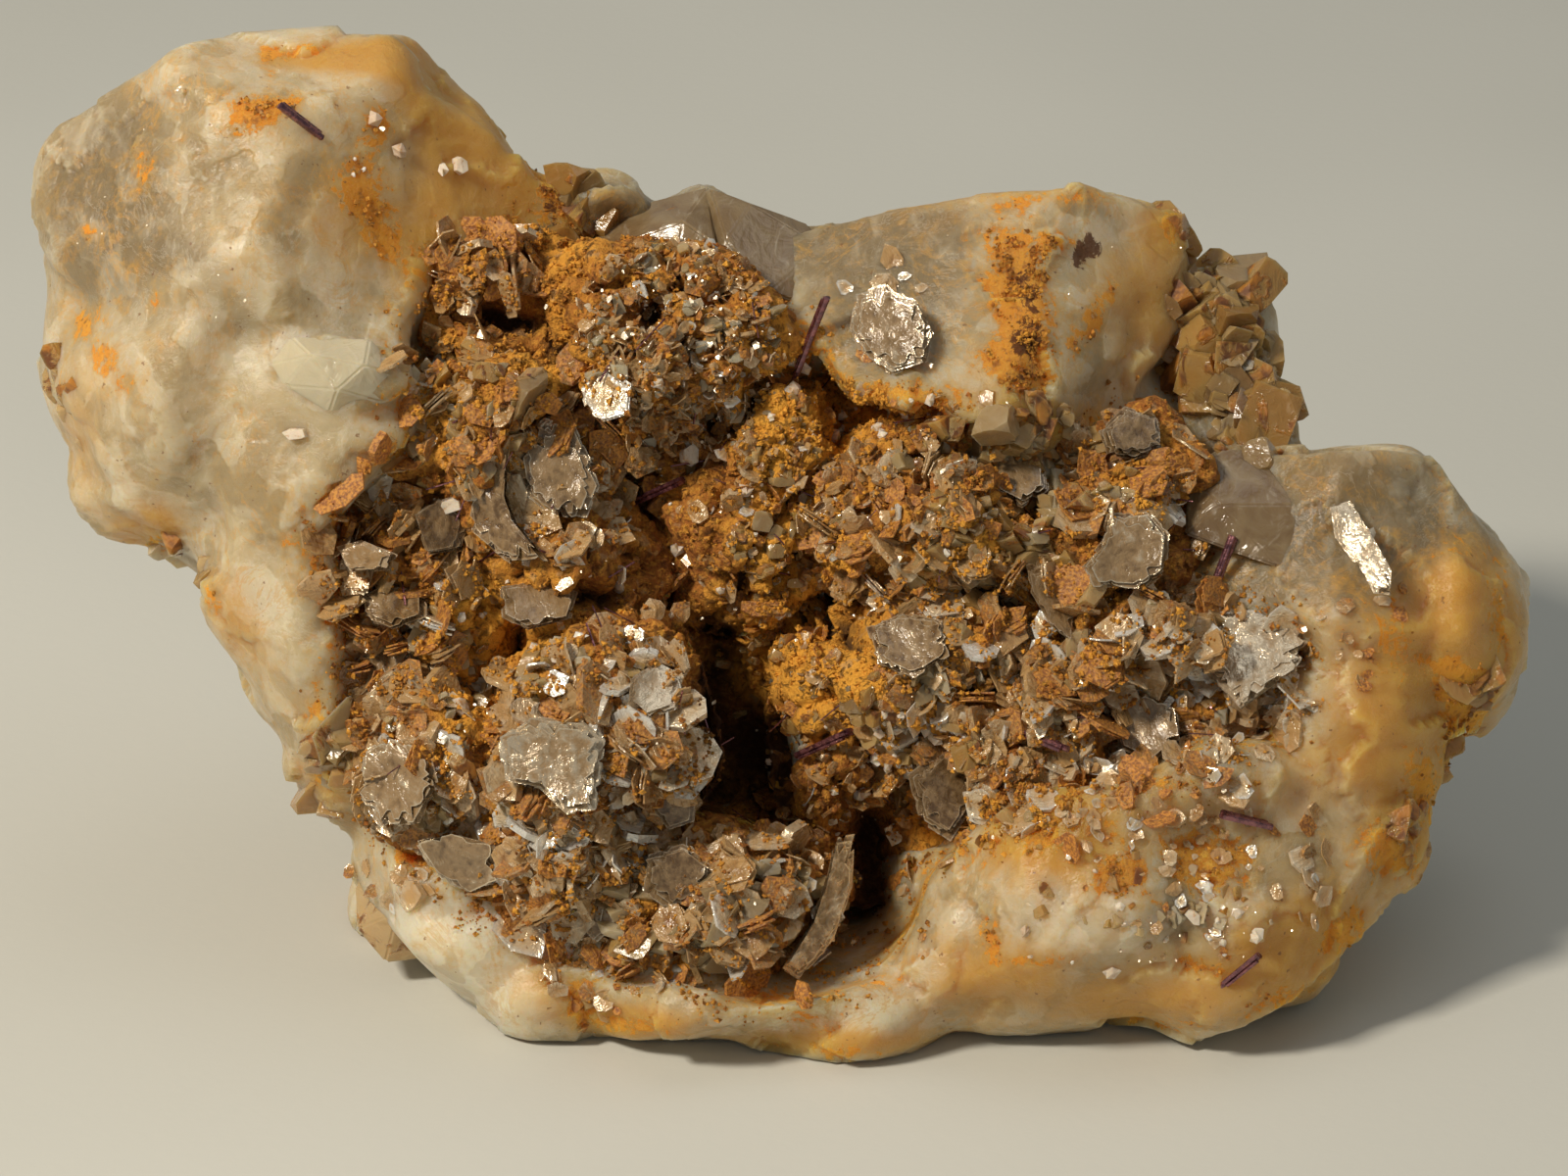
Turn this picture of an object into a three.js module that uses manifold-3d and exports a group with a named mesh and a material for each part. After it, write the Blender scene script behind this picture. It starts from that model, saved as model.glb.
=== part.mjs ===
// An adularia specimen: milky feldspar crystals grown together round a hollow that is filled with
// iron oxide, mica books and rutile needles. Millimetres, +Z up, resting on its flat broken base.
//
// The pieces are laid out on the specimen's face: x runs right across it, y runs up it, and z comes
// straight out of it. The whole face then leans back, as the specimen does when it lies on its base.
import * as THREE from "three";
import { ConvexGeometry } from "three/addons/geometries/ConvexGeometry.js";
import { mergeVertices } from "three/addons/utils/BufferGeometryUtils.js";
import Module from "manifold-3d";

// Driving dimensions
const LEAN_DEG = 28; // how far the face leans back from upright
const FACE_ORIGIN = [0.1, -4.3, 18.5]; // where the middle of the face stands over the base's middle
const GAP = 0.3; // clearance between pieces that touch
const POCKET_FLOOR = -8; // how deep the crust goes into the feldspar, behind the middle of the face
const POCKET_BASE = 2.6; // feldspar left under the pocket, above the base
const CRUST_BED_TOP = -5.6; // how far out the crust comes between its swellings
const PLATE_THICKNESS = 0.45;
const BOOK_THICKNESS = 0.9;
const NEEDLE_RADIUS = 0.24;

const wasm = await Module();
wasm.setup();

const LEAN = THREE.MathUtils.degToRad(LEAN_DEG);
const UPWARD = [0, Math.cos(LEAN), Math.sin(LEAN)]; // straight up, seen from the leaning face
const FRONT = 40; // a distance in front of everything

// Random numbers from 0 to 1 that repeat for the same seed.
function randomFrom(seed) {
  let state = seed * 7919;
  return () => {
    state = (state + 0x6d2b79f5) | 0;
    let mixed = Math.imul(state ^ (state >>> 15), 1 | state);
    mixed = (mixed + Math.imul(mixed ^ (mixed >>> 7), 61 | mixed)) ^ mixed;
    return ((mixed ^ (mixed >>> 14)) >>> 0) / 4294967296;
  };
}

// A direction with no preference, from two random numbers.
function randomDirection(random) {
  const height = 2 * random() - 1;
  const angle = 2 * Math.PI * random();
  const across = Math.sqrt(1 - height * height);
  return new THREE.Vector3(across * Math.cos(angle), across * Math.sin(angle), height);
}

// A closed geometry as a solid that can be joined and cut.
function solidFrom(geometry) {
  const bare = geometry.index ? geometry.toNonIndexed() : geometry.clone();
  bare.deleteAttribute("normal");
  bare.deleteAttribute("uv");
  const merged = mergeVertices(bare, 1e-4);
  return new wasm.Manifold(
    new wasm.Mesh({
      numProp: 3,
      vertProperties: merged.attributes.position.array,
      triVerts: new Uint32Array(merged.index.array),
    }),
  );
}

// A solid back as a geometry with flat faces.
function geometryFrom(solid) {
  const mesh = solid.getMesh();
  return new THREE.BufferGeometry()
    .setAttribute("position", new THREE.BufferAttribute(mesh.vertProperties, 3))
    .setIndex(new THREE.BufferAttribute(mesh.triVerts, 1))
    .toNonIndexed();
}

function joined(solids) {
  return solids.reduce((whole, next) => whole.add(next));
}

// The largest body of a solid that a cut may have left in several.
function largestOf(solid) {
  return solid.decompose().reduce((best, next) => (next.volume() > best.volume() ? next : best));
}

// Keeps what stands higher than a height above the base.
function above(solid, height) {
  return solid.trimByPlane(UPWARD, height - FACE_ORIGIN[2]);
}

// A rough lump: a ball whose radius wavers by sine waves in random directions, stretched to its half
// sizes, turned about the way out of the face, chipped flat at random and cut by its stated flats.
// Each flat is its outward direction and its distance from the lump's middle.
function lump({ at, size, turn = 0, rough = 0.1, detail = 1, chips = 6, seed, flats = [] }) {
  const random = randomFrom(seed);
  const waves = Array.from({ length: 6 }, () => ({
    along: randomDirection(random).multiplyScalar(2.5 + 4 * random()),
    phase: 2 * Math.PI * random(),
  }));
  const geometry = new THREE.IcosahedronGeometry(1, detail);
  const position = geometry.attributes.position;
  const point = new THREE.Vector3();
  for (let i = 0; i < position.count; i += 1) {
    point.fromBufferAttribute(position, i);
    const waver = waves.reduce((sum, wave) => sum + Math.sin(wave.along.dot(point) + wave.phase), 0);
    point.multiplyScalar(1 + rough * waver * 0.5);
    position.setXYZ(i, point.x, point.y, point.z);
  }
  let solid = solidFrom(geometry);
  for (let chip = 0; chip < chips; chip += 1) {
    const out = randomDirection(random);
    solid = solid.trimByPlane(out.clone().negate().toArray(), -(0.84 + 0.12 * random()));
  }
  solid = solid.scale(size).rotate([0, 0, turn]).translate(at);
  for (const [outward, distance] of flats) {
    const out = new THREE.Vector3(...outward).normalize();
    const offset = out.dot(new THREE.Vector3(...at)) + distance;
    solid = solid.trimByPlane(out.negate().toArray(), -offset);
  }
  return solid;
}

// A crystal with flat faces, from its corners.
function crystal(corners) {
  return solidFrom(new ConvexGeometry(corners.map((corner) => new THREE.Vector3(...corner))));
}

// An outline of the face pushed outwards by a distance, with its corners kept sharp.
function grownOutline(outline, distance) {
  return outline.map((point, i) => {
    const here = new THREE.Vector2(...point);
    const before = new THREE.Vector2(...outline[(i + outline.length - 1) % outline.length]);
    const after = new THREE.Vector2(...outline[(i + 1) % outline.length]);
    const arriving = here.clone().sub(before).normalize();
    const leaving = after.sub(here).normalize();
    const outward = new THREE.Vector2(arriving.y + leaving.y, -arriving.x - leaving.x).normalize();
    const stretch = Math.max(0.6, outward.dot(new THREE.Vector2(arriving.y, -arriving.x)));
    return here.addScaledVector(outward, distance / stretch).toArray();
  });
}

// A straight-sided block over an outline, from a depth to well in front of the face.
function blockOver(outline, depth) {
  const shape = new THREE.Shape(outline.map((point) => new THREE.Vector2(...point)));
  const geometry = new THREE.ExtrudeGeometry(shape, { depth: FRONT - depth, bevelEnabled: false });
  return solidFrom(geometry.translate(0, 0, depth));
}

// A mica plate: an uneven hexagon, flat along its own x and y, and grown on all sides by a clearance.
function micaPlate(radius, thickness, seed, clearance = 0) {
  const random = randomFrom(seed);
  const corners = Array.from({ length: 6 }, (_, side) => {
    const angle = ((side + 0.35 * (random() - 0.5)) * Math.PI) / 3;
    const reach = radius * (0.82 + 0.32 * random()) + 1.15 * clearance;
    return new THREE.Vector2(reach * Math.cos(angle), reach * Math.sin(angle));
  });
  const depth = thickness + 2 * clearance;
  const geometry = new THREE.ExtrudeGeometry(new THREE.Shape(corners), { depth, bevelEnabled: false });
  return geometry.translate(0, 0, -depth / 2);
}

// The turn and place that stand a flat piece at a point, facing a way, spun about that way.
function standing(at, facing, spin) {
  const turn = new THREE.Quaternion().setFromUnitVectors(
    new THREE.Vector3(0, 0, 1),
    new THREE.Vector3(...facing).normalize(),
  );
  const spun = new THREE.Quaternion().setFromAxisAngle(new THREE.Vector3(0, 0, 1), spin);
  return new THREE.Matrix4().compose(at, turn.multiply(spun), new THREE.Vector3(1, 1, 1));
}

// Where a line straight into the face first meets a surface, and which way that surface faces.
function meetingPoint(surface, x, y) {
  const line = new THREE.Raycaster(new THREE.Vector3(x, y, FRONT), new THREE.Vector3(0, 0, -1));
  const [hit] = line.intersectObject(surface);
  return hit ? { point: hit.point, facing: hit.face.normal } : null;
}

// The feldspar's crystals and swellings, as rough lumps. The upper left swelling is the largest.
const FELDSPAR_LUMPS = [
  // upper left swelling
  {
    at: [-20.6, 14.4, -5], size: [11.2, 8.8, 9.5], detail: 2, chips: 10, seed: 11,
    flats: [
      [[0, 1, 0], 7], [[-0.47, 0.88, 0], 7.2], [[-1, 0.05, 0], 10.2], [[0.8, 0.6, 0], 8.8],
      [[0.62, 0.1, 0.78], 7.2], [[-0.55, 0.2, 0.8], 8.4], [[0.1, 0.75, 0.65], 7.6],
    ],
  },
  { at: [-24.2, 8, -4], size: [6.8, 7.4, 8], detail: 2, chips: 8, seed: 12, flats: [[[-0.9, -0.4, 0.3], 6.2]] },
  { at: [-18.6, 5.4, -3], size: [6.4, 9, 7.6], detail: 2, chips: 8, seed: 13 },
  { at: [-19.6, -1.8, -4], size: [4.8, 6.2, 6.4], seed: 14 },
  { at: [-17.4, -6.2, -4], size: [3.6, 4.8, 5.6], seed: 15 },
  // knobs down the left edge
  { at: [-28.6, 9, -6], size: [2.2, 5, 4.4], chips: 3, seed: 16 },
  { at: [-26.6, 3.4, -5], size: [3.6, 3.4, 3.6], chips: 3, seed: 17 },
  { at: [-24, 0.9, -5], size: [2.8, 1.9, 3.2], chips: 3, seed: 18 },
  { at: [-18.6, -9.2, -5], size: [2.2, 2.4, 2.8], chips: 3, seed: 19 },
  // pale tongue at the lower left
  { at: [-12.6, -15.2, -5], size: [6.6, 3.8, 6.4], turn: -38, detail: 2, seed: 21 },
  { at: [-9.6, -18, -3.4], size: [3, 2.8, 4.2], chips: 3, seed: 22 },
  // bottom rim
  { at: [-3.6, -16.8, -3.4], size: [8.4, 3.5, 6.2], seed: 23 },
  { at: [3.4, -18.7, -2.4], size: [5.4, 2.6, 5], turn: 6, seed: 24 },
  // lower right swelling
  {
    at: [13.8, -14.4, -3.4], size: [10.8, 5.8, 8], detail: 2, chips: 8, seed: 26,
    flats: [[[0.1, -1, 0.1], 5.2]],
  },
  { at: [17.8, -12, -3.4], size: [9, 7, 8], turn: 25, detail: 2, chips: 8, seed: 27 },
  { at: [23, -7.4, -4.4], size: [4.9, 6.6, 7], turn: -12, seed: 28 },
  { at: [27.4, -3.4, -5.4], size: [4.2, 5.4, 6.4], seed: 29 },
  // grey crystal at the right
  {
    at: [22, -0.8, -4.2], size: [7.6, 6.2, 7.6], chips: 2, rough: 0.04, seed: 30,
    flats: [
      [[0.03, 1, 0], 4.9], [[0.76, 0.65, 0], 6.4], [[-0.5, 0.35, 0.8], 4.6], [[0.45, 0.35, 0.82], 5.4],
    ],
  },
  // smoky crystals behind the right shoulder
  { at: [18.6, 7.8, -9.4], size: [2.6, 4.8, 4], seed: 31 },
  { at: [19.8, 5, -8], size: [1.9, 2.6, 3.2], chips: 3, seed: 32 },
  // iron-stained ridge between the upper left swelling and the glassy crystals
  { at: [-8.6, 14.2, -8], size: [3.4, 2, 4], chips: 4, seed: 33 },
  // the body behind the hollow
  { at: [-0.8, 0, -9.6], size: [21.5, 13.6, 9], detail: 2, chips: 12, seed: 35 },
  { at: [0.5, -11.6, -7.6], size: [17.5, 7.4, 8.4], detail: 2, chips: 10, seed: 36 },
  // small stained crystal low at the back left
  { at: [-15.6, -14.8, -10.6], size: [3.2, 3.4, 3.4], chips: 3, seed: 37 },
];

// Large feldspar crystals with flat faces, by their corners.
const PRISM_CORNERS = [
  [-0.4, 13.3, -4.4], [12, 15.2, -3.6], [8.6, 4.6, 2.4], [1.4, 6.2, 1.4], [17.4, 14.2, -7.6],
  [17.1, 10.2, -7], [14, 5.8, -4], [10.6, 3.8, -0.4], [-0.6, 13, -13], [12, 15.3, -12],
  [16.8, 13.4, -13], [16.4, 8.6, -14], [9, 2.8, -12], [0.8, 4.8, -12],
];
const GLASSY_CORNERS = [
  [-8.4, 13.6, -7], [-6.2, 14.5, -7.6], [-3.4, 15.1, -6.6], [-0.6, 14.1, -7], [1.4, 13.2, -6],
  [0.2, 10, -3], [-6.4, 10.4, -3.4], [-8.2, 12, -4.4], [-7.8, 12.6, -13], [1, 12.6, -13], [-3, 14.4, -12],
];
const CLEAR_CORNERS = [
  [-20.8, 8.2, 3.4], [-18.6, 8.7, 4.2], [-15.6, 7.9, 4.4], [-15.1, 6.4, 4.2], [-17.4, 5.6, 4.8],
  [-19.4, 6, 4.4], [-20.6, 7, 3], [-20.2, 8, 0], [-15.6, 7.6, 0], [-17.6, 5.4, 0],
];

// Where the crust of iron oxide and mica shows, as an outline of the face, anticlockwise.
const CRUST_OUTLINE = [
  [-13.9, 11.8], [-15, 8.6], [-14.8, 4.2], [-18.6, 0.4], [-17.8, -3.4], [-18, -7.6], [-16.6, -11.4],
  [-12.6, -14.8], [-9, -15.9], [-6.2, -17.4], [-0.6, -18.2], [3.4, -17.2], [5, -15], [5.4, -13.2],
  [9.4, -10.2], [13, -9.4], [19.4, -8], [21.6, -3.6], [17.2, -1], [17.3, 3.4], [15.4, 6], [10.8, 3.6],
  [6, 5.4], [2.6, 5.8], [0.4, 9], [-2.8, 12.4], [-4.6, 12.9], [-7, 12], [-11, 13.2],
];

// Swellings of the crust: middle and half sizes. The lower left one stands out furthest.
const CRUST_LUMPS = [
  [[-5.2, 8.4, -2.4], [4.8, 4.2, 4.6]],
  [[-11.4, 9.4, -4.2], [3.8, 3.6, 4.2]],
  [[-12, 3.4, -2.2], [4.8, 4.8, 4.6]],
  [[-14.8, -1.6, -3.2], [4.2, 4.2, 5]],
  [[-9, -1.4, -2.6], [4, 3.6, 4.2]],
  [[-7.2, -7, -0.8], [4.8, 4.4, 5.4]],
  [[-14.4, -8.8, -3.4], [4, 4.4, 5.2]],
  [[-9.6, -12.8, -2.2], [4.8, 3.2, 4.8]],
  [[-3.4, -14.6, -2], [6, 3.4, 4.8]],
  [[-1.6, 3.2, -4.2], [4, 6.2, 3.8]],
  [[2.2, -7, -4.4], [2.8, 5.4, 3.6]],
  [[6.2, 1.4, -2.8], [5.4, 4.2, 4.6]],
  [[6.8, -4.6, -3], [5, 4.4, 4.4]],
  [[12.6, -1.2, -3], [5, 5, 4.8]],
  [[17, -4.6, -3.8], [4.8, 3.8, 5]],
  [[11.2, -7.6, -2.8], [6, 3.4, 4.6]],
  [[14.2, 3.2, -4.2], [3.6, 3, 4.2]],
];

// Patches of small mica plates in the crust: middle, half sizes, how many, and the way that they face.
const PLATE_PATCHES = [
  { at: [-4.8, 9], spread: [3.6, 3], count: 3, facing: [0.1, 0.5, 0.9] },
  { at: [-11.6, 5], spread: [3.4, 3], count: 2, facing: [-0.3, 0.3, 0.9] },
  { at: [-7.2, -6.6], spread: [3.6, 3.6], count: 3, facing: [0.1, 0.3, 0.95] },
  { at: [-10, -12.4], spread: [3.6, 2], count: 2, facing: [-0.1, -0.2, 0.9] },
  { at: [-2, -14.6], spread: [4, 2], count: 1, facing: [0.1, 0.1, 1] },
  { at: [6, 1], spread: [4.2, 2.8], count: 2, facing: [0.1, 0.6, 0.8] },
  { at: [8, -6], spread: [4, 3], count: 2, facing: [0, 0.4, 0.9] },
  { at: [14.4, -5.6], spread: [4, 2.6], count: 2, facing: [0.2, 0.5, 0.85] },
];

// The large mica books: where they stand on the face, radius, the way that they face and their spin.
const MICA_BOOKS = [
  { at: [-10.7, 3], radius: 2.1, facing: [-0.5, -0.1, 0.86], spin: 0.4 },
  { at: [-8.4, 3.2], radius: 1.9, facing: [0.05, 0.15, 1], spin: 0.1 },
  { at: [-14.2, 1], radius: 1.8, facing: [0.75, 0.2, 0.6], spin: 0.6 },
  { at: [-17, -0.4], radius: 1.5, facing: [-0.25, 0.85, 0.4], spin: 0.2 },
  { at: [-16.2, -2.4], radius: 1.6, facing: [-0.1, 0.8, 0.6], spin: 0.9 },
  { at: [-10.2, -2.4], radius: 1.7, facing: [0.1, 0.85, 0.5], spin: 0.3 },
  { at: [-16.4, -5], radius: 1.7, facing: [-0.5, 0.2, 0.85], spin: 0.7 },
  { at: [-16, -9.8], radius: 2, facing: [-0.55, 0.1, 0.82], spin: 0.2 },
  { at: [-7.4, -8.2], radius: 2.2, facing: [0, 0.1, 1], spin: 0.5 },
  { at: [-5, -5.2], radius: 1.7, facing: [0.4, 0.5, 0.77], spin: 0.8 },
  { at: [-4.4, -10.2], radius: 1.3, facing: [0.3, -0.1, 0.95], spin: 0.1 },
  { at: [-13, -13], radius: 1.7, facing: [-0.2, -0.4, 0.9], spin: 0.4 },
  { at: [-4.4, -13.2], radius: 1.6, facing: [0.3, 0.1, 0.95], spin: 0.9 },
  { at: [-8.2, -15.2], radius: 1.5, facing: [-0.1, -0.2, 0.97], spin: 0.3 },
  { at: [2.2, -15], radius: 2, facing: [0.72, -0.25, 0.6], spin: 0.1 },
  { at: [4.4, 8.6], radius: 1.8, facing: [-0.1, 0.25, 0.95], spin: 0.5 },
  { at: [9.6, 3], radius: 1.6, facing: [0.2, 0.5, 0.85], spin: 0.2 },
  { at: [14.6, 4.8], radius: 1.6, facing: [0.35, 0.35, 0.87], spin: 0.7 },
  { at: [14, 0], radius: 1.9, facing: [0.15, 0.2, 0.97], spin: 0.3 },
  { at: [10.8, -1.4], radius: 1.5, facing: [0.85, 0.3, 0.4], spin: 0.8 },
  { at: [18.8, -4.4], radius: 2.4, facing: [-0.1, 0.55, 0.83], spin: 0.1 },
  { at: [5.4, -3.2], radius: 2.3, facing: [-0.1, 0.5, 0.86], spin: 0.6 },
  { at: [15, -7.4], radius: 1.8, facing: [-0.1, 0.3, 0.95], spin: 0.4 },
  { at: [7.2, -9.4], radius: 1.6, facing: [0.3, 0.2, 0.93], spin: 0.2 },
  { at: [23.2, 0.2], radius: 1.6, facing: [-0.3, 0.4, 0.87], spin: 0.6 },
];

// The rutile needles: where each leaves the surface, the way that it points, and its full length.
const RUTILE_NEEDLES = [
  { at: [0.9, 8.2], along: [0.3, 0.75, 0.6], length: 4.6 },
  { at: [-19.2, 17], along: [-0.6, 0.45, 0.65], length: 2.6 },
  { at: [17.8, -1], along: [0.3, 0.8, 0.5], length: 3 },
  { at: [9.8, -7.5], along: [0.75, -0.3, 0.55], length: 3.2 },
  { at: [18.2, -17.2], along: [0.6, 0.55, 0.58], length: 2.4 },
  { at: [-5.6, 2.2], along: [0.7, 0.3, 0.6], length: 3.2 },
  { at: [1.2, -8.2], along: [0.75, 0.35, 0.55], length: 3 },
  { at: [18.8, -11], along: [-0.8, 0.2, 0.55], length: 2.6 },
];

// Small feldspar rhombs scattered over the crust and the swellings.
const SMALL_CRYSTALS = [
  { at: [-19.6, 4.6], size: [1.1, 0.9, 0.8], turn: 15 },
  { at: [-4, 3.9], size: [0.9, 1, 0.8], turn: 8 },
  { at: [-13.7, 1.7], size: [0.7, 0.9, 0.7], turn: 20 },
  { at: [9.8, -4.2], size: [1.2, 1, 0.9], turn: 30 },
  { at: [-13.4, 15.8], size: [0.9, 0.8, 0.7], turn: 40 },
  { at: [16.4, -14.8], size: [1.3, 0.8, 0.8], turn: 20 },
];

function feldsparBody() {
  const lumps = FELDSPAR_LUMPS.map((facts) => lump(facts));
  const crystals = [PRISM_CORNERS, GLASSY_CORNERS, CLEAR_CORNERS].map(crystal);
  const pocket = above(blockOver(grownOutline(CRUST_OUTLINE, GAP), POCKET_FLOOR - GAP), POCKET_BASE);
  return above(joined([...lumps, ...crystals]), 0).subtract(pocket);
}

// The crust's lumps on a bed that covers the pocket's floor, kept inside the pocket's outline.
function crustBody() {
  const bed = above(blockOver(CRUST_OUTLINE, POCKET_FLOOR), POCKET_BASE + GAP);
  const floor = bed.trimByPlane([0, 0, -1], -CRUST_BED_TOP);
  const lumps = CRUST_LUMPS.map(([at, size], i) =>
    lump({ at, size, chips: 0, rough: 0.14, seed: 60 + i }),
  );
  return floor.add(joined(lumps).intersect(bed));
}

// Small mica plates joined to the crust where they stand, each leaning a little its own way.
function withPlates(crust) {
  const surface = new THREE.Mesh(geometryFrom(crust));
  surface.geometry.computeVertexNormals();
  const random = randomFrom(5);
  const plates = [];
  for (const { at, spread, count, facing } of PLATE_PATCHES) {
    for (let i = 0; i < count; i += 1) {
      const angle = 2 * Math.PI * random();
      const reach = Math.sqrt(random());
      const x = at[0] + spread[0] * reach * Math.cos(angle);
      const y = at[1] + spread[1] * reach * Math.sin(angle);
      const lean = randomDirection(random).multiplyScalar(0.75).add(new THREE.Vector3(...facing));
      const radius = 1.3 + 0.9 * random();
      const spin = Math.PI * random();
      const hit = meetingPoint(surface, x, y);
      if (hit) {
        const place = standing(hit.point, lean.toArray(), spin);
        plates.push(solidFrom(micaPlate(radius, PLATE_THICKNESS, 100 + plates.length).applyMatrix4(place)));
      }
    }
  }
  const bed = above(blockOver(CRUST_OUTLINE, POCKET_FLOOR), POCKET_BASE + GAP);
  return largestOf(crust.add(joined(plates)).intersect(bed));
}

// A rutile needle: a six-sided prism along its own y, with a clearance all round.
function needleShape(length, clearance = 0) {
  const radius = NEEDLE_RADIUS + clearance;
  return new THREE.CylinderGeometry(radius * 0.8, radius, length + 2 * clearance, 6);
}

// A small feldspar rhomb with its six sloping faces, grown by a clearance.
function rhombShape(size, clearance = 0) {
  const [x, y, z] = size.map((half) => half + clearance);
  const corners = [
    [-x, -y * 0.6, -z], [x * 0.7, -y, -z], [x, y * 0.6, -z], [-x * 0.7, y, -z],
    [-x * 0.8, -y * 0.8, z * 0.7], [x * 0.8, -y * 0.7, z], [x * 0.7, y * 0.8, z * 0.7], [-x * 0.9, y * 0.7, z],
  ];
  return new ConvexGeometry(corners.map((corner) => new THREE.Vector3(...corner)));
}

// Every loose-looking piece that stands on the specimen: its name, colour and shape with a clearance.
function standingPieces(surface) {
  const pieces = [];
  MICA_BOOKS.forEach(({ at, radius, facing, spin }, i) => {
    const { point } = meetingPoint(surface, ...at);
    const place = standing(point.add(new THREE.Vector3(0, 0, 0.25)), facing, spin);
    const shape = (clearance) => micaPlate(radius, BOOK_THICKNESS, 300 + i, clearance).applyMatrix4(place);
    pieces.push({ name: `mica_book_${i + 1}`, finish: FINISHES.mica, shape });
  });
  SMALL_CRYSTALS.forEach(({ at, size, turn }, i) => {
    const { point, facing } = meetingPoint(surface, ...at);
    const place = standing(point, facing.toArray(), THREE.MathUtils.degToRad(turn));
    const shape = (clearance) => rhombShape(size, clearance).applyMatrix4(place);
    pieces.push({ name: `small_adularia_crystal_${i + 1}`, finish: FINISHES.feldspar, shape });
  });
  RUTILE_NEEDLES.forEach(({ at, along, length }, i) => {
    const { point } = meetingPoint(surface, ...at);
    const way = new THREE.Vector3(...along).normalize();
    const middle = point.addScaledVector(way, length * 0.2);
    const turn = new THREE.Quaternion().setFromUnitVectors(new THREE.Vector3(0, 1, 0), way);
    const place = new THREE.Matrix4().compose(middle, turn, new THREE.Vector3(1, 1, 1));
    const shape = (clearance) => needleShape(length, clearance).applyMatrix4(place);
    pieces.push({ name: `rutile_needle_${i + 1}`, finish: FINISHES.rutile, shape });
  });
  return pieces;
}

const FINISHES = {
  feldspar: { color: 0xd8cdb4, roughness: 0.35, metalness: 0 },
  crust: { color: 0x8a5420, roughness: 0.9, metalness: 0 },
  mica: { color: 0x9a8a76, roughness: 0.25, metalness: 0.2 },
  rutile: { color: 0x4a2030, roughness: 0.3, metalness: 0.6 },
};

function named(name, solid, finish) {
  const geometry = geometryFrom(solid);
  geometry.computeVertexNormals();
  const mesh = new THREE.Mesh(geometry, new THREE.MeshStandardMaterial(finish));
  mesh.name = name;
  return mesh;
}

const specimen = new THREE.Group();
specimen.rotation.x = Math.PI / 2 - LEAN;
specimen.position.set(...FACE_ORIGIN);

let feldspar = feldsparBody();
let crust = withPlates(crustBody());
const surface = new THREE.Mesh(geometryFrom(feldspar.add(crust)));
surface.geometry.computeVertexNormals();

const taken = [];
for (const { name, finish, shape } of standingPieces(surface)) {
  const whole = solidFrom(shape(0));
  const free = taken.reduce((rest, other) => rest.subtract(other), whole);
  specimen.add(named(name, largestOf(free), finish));
  const socket = solidFrom(shape(GAP));
  taken.push(socket);
  feldspar = feldspar.subtract(socket);
  crust = crust.subtract(socket);
}
specimen.add(named("adularia_mass", largestOf(feldspar), FINISHES.feldspar));
specimen.add(named("mica_and_iron_crust", largestOf(crust), FINISHES.crust));

export default specimen;
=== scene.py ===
import math

import bmesh
import bpy
import numpy as np
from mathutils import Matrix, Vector
from mathutils.bvhtree import BVHTree


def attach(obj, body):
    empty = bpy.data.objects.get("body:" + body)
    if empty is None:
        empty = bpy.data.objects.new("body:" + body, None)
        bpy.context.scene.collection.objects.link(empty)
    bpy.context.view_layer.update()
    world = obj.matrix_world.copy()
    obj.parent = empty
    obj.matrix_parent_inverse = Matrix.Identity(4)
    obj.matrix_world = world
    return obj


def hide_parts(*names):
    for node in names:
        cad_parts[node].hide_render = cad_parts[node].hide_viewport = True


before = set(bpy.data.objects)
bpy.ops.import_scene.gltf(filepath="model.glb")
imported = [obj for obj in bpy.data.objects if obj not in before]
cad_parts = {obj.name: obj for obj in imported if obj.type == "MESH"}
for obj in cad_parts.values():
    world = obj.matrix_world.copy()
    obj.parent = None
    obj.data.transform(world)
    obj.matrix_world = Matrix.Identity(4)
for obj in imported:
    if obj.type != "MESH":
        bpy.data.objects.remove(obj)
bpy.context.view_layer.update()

# Shapes are worked out in millimetres, and turned into metres as each mesh is made.
MM = 0.001

# The specimen's face, as part.mjs lays it out: x right across it, y up it, z straight out of it.
LEAN = math.radians(28)
FACE_ORIGIN = np.array([0.1, -4.3, 18.5])
RIGHT = np.array([1.0, 0.0, 0.0])
UP_FACE = np.array([0.0, math.sin(LEAN), math.cos(LEAN)])
OUTWARD = np.array([0.0, -math.cos(LEAN), math.sin(LEAN)])
FACE_AXES = np.stack([RIGHT, UP_FACE, OUTWARD])

# The photograph's scale: its middle is this point of the face, and so many pixels are a millimetre.
PHOTO_MIDDLE = (800, 560)
PIXELS_PER_MM = 25

CRUST_OUTLINE = np.array([
    (-13.9, 11.8), (-15, 8.6), (-14.8, 4.2), (-18.6, 0.4), (-17.8, -3.4), (-18, -7.6), (-16.6, -11.4),
    (-12.6, -14.8), (-9, -15.9), (-6.2, -17.4), (-0.6, -18.2), (3.4, -17.2), (5, -15), (5.4, -13.2),
    (9.4, -10.2), (13, -9.4), (19.4, -8), (21.6, -3.6), (17.2, -1), (17.3, 3.4), (15.4, 6), (10.8, 3.6),
    (6, 5.4), (2.6, 5.8), (0.4, 9), (-2.8, 12.4), (-4.6, 12.9), (-7, 12), (-11, 13.2),
])


def on_face(points):
    """Points of the row frame, in mm, as x, y and z of the specimen's face."""
    return (points - FACE_ORIGIN) @ FACE_AXES.T


def off_face(points):
    """Points of the specimen's face as points of the row frame, in mm."""
    return points @ FACE_AXES + FACE_ORIGIN


def from_photo(x, y):
    """A pixel of the photograph as x and y of the face."""
    return (x - PHOTO_MIDDLE[0]) / PIXELS_PER_MM, (PHOTO_MIDDLE[1] - y) / PIXELS_PER_MM


# Random fields.

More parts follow.
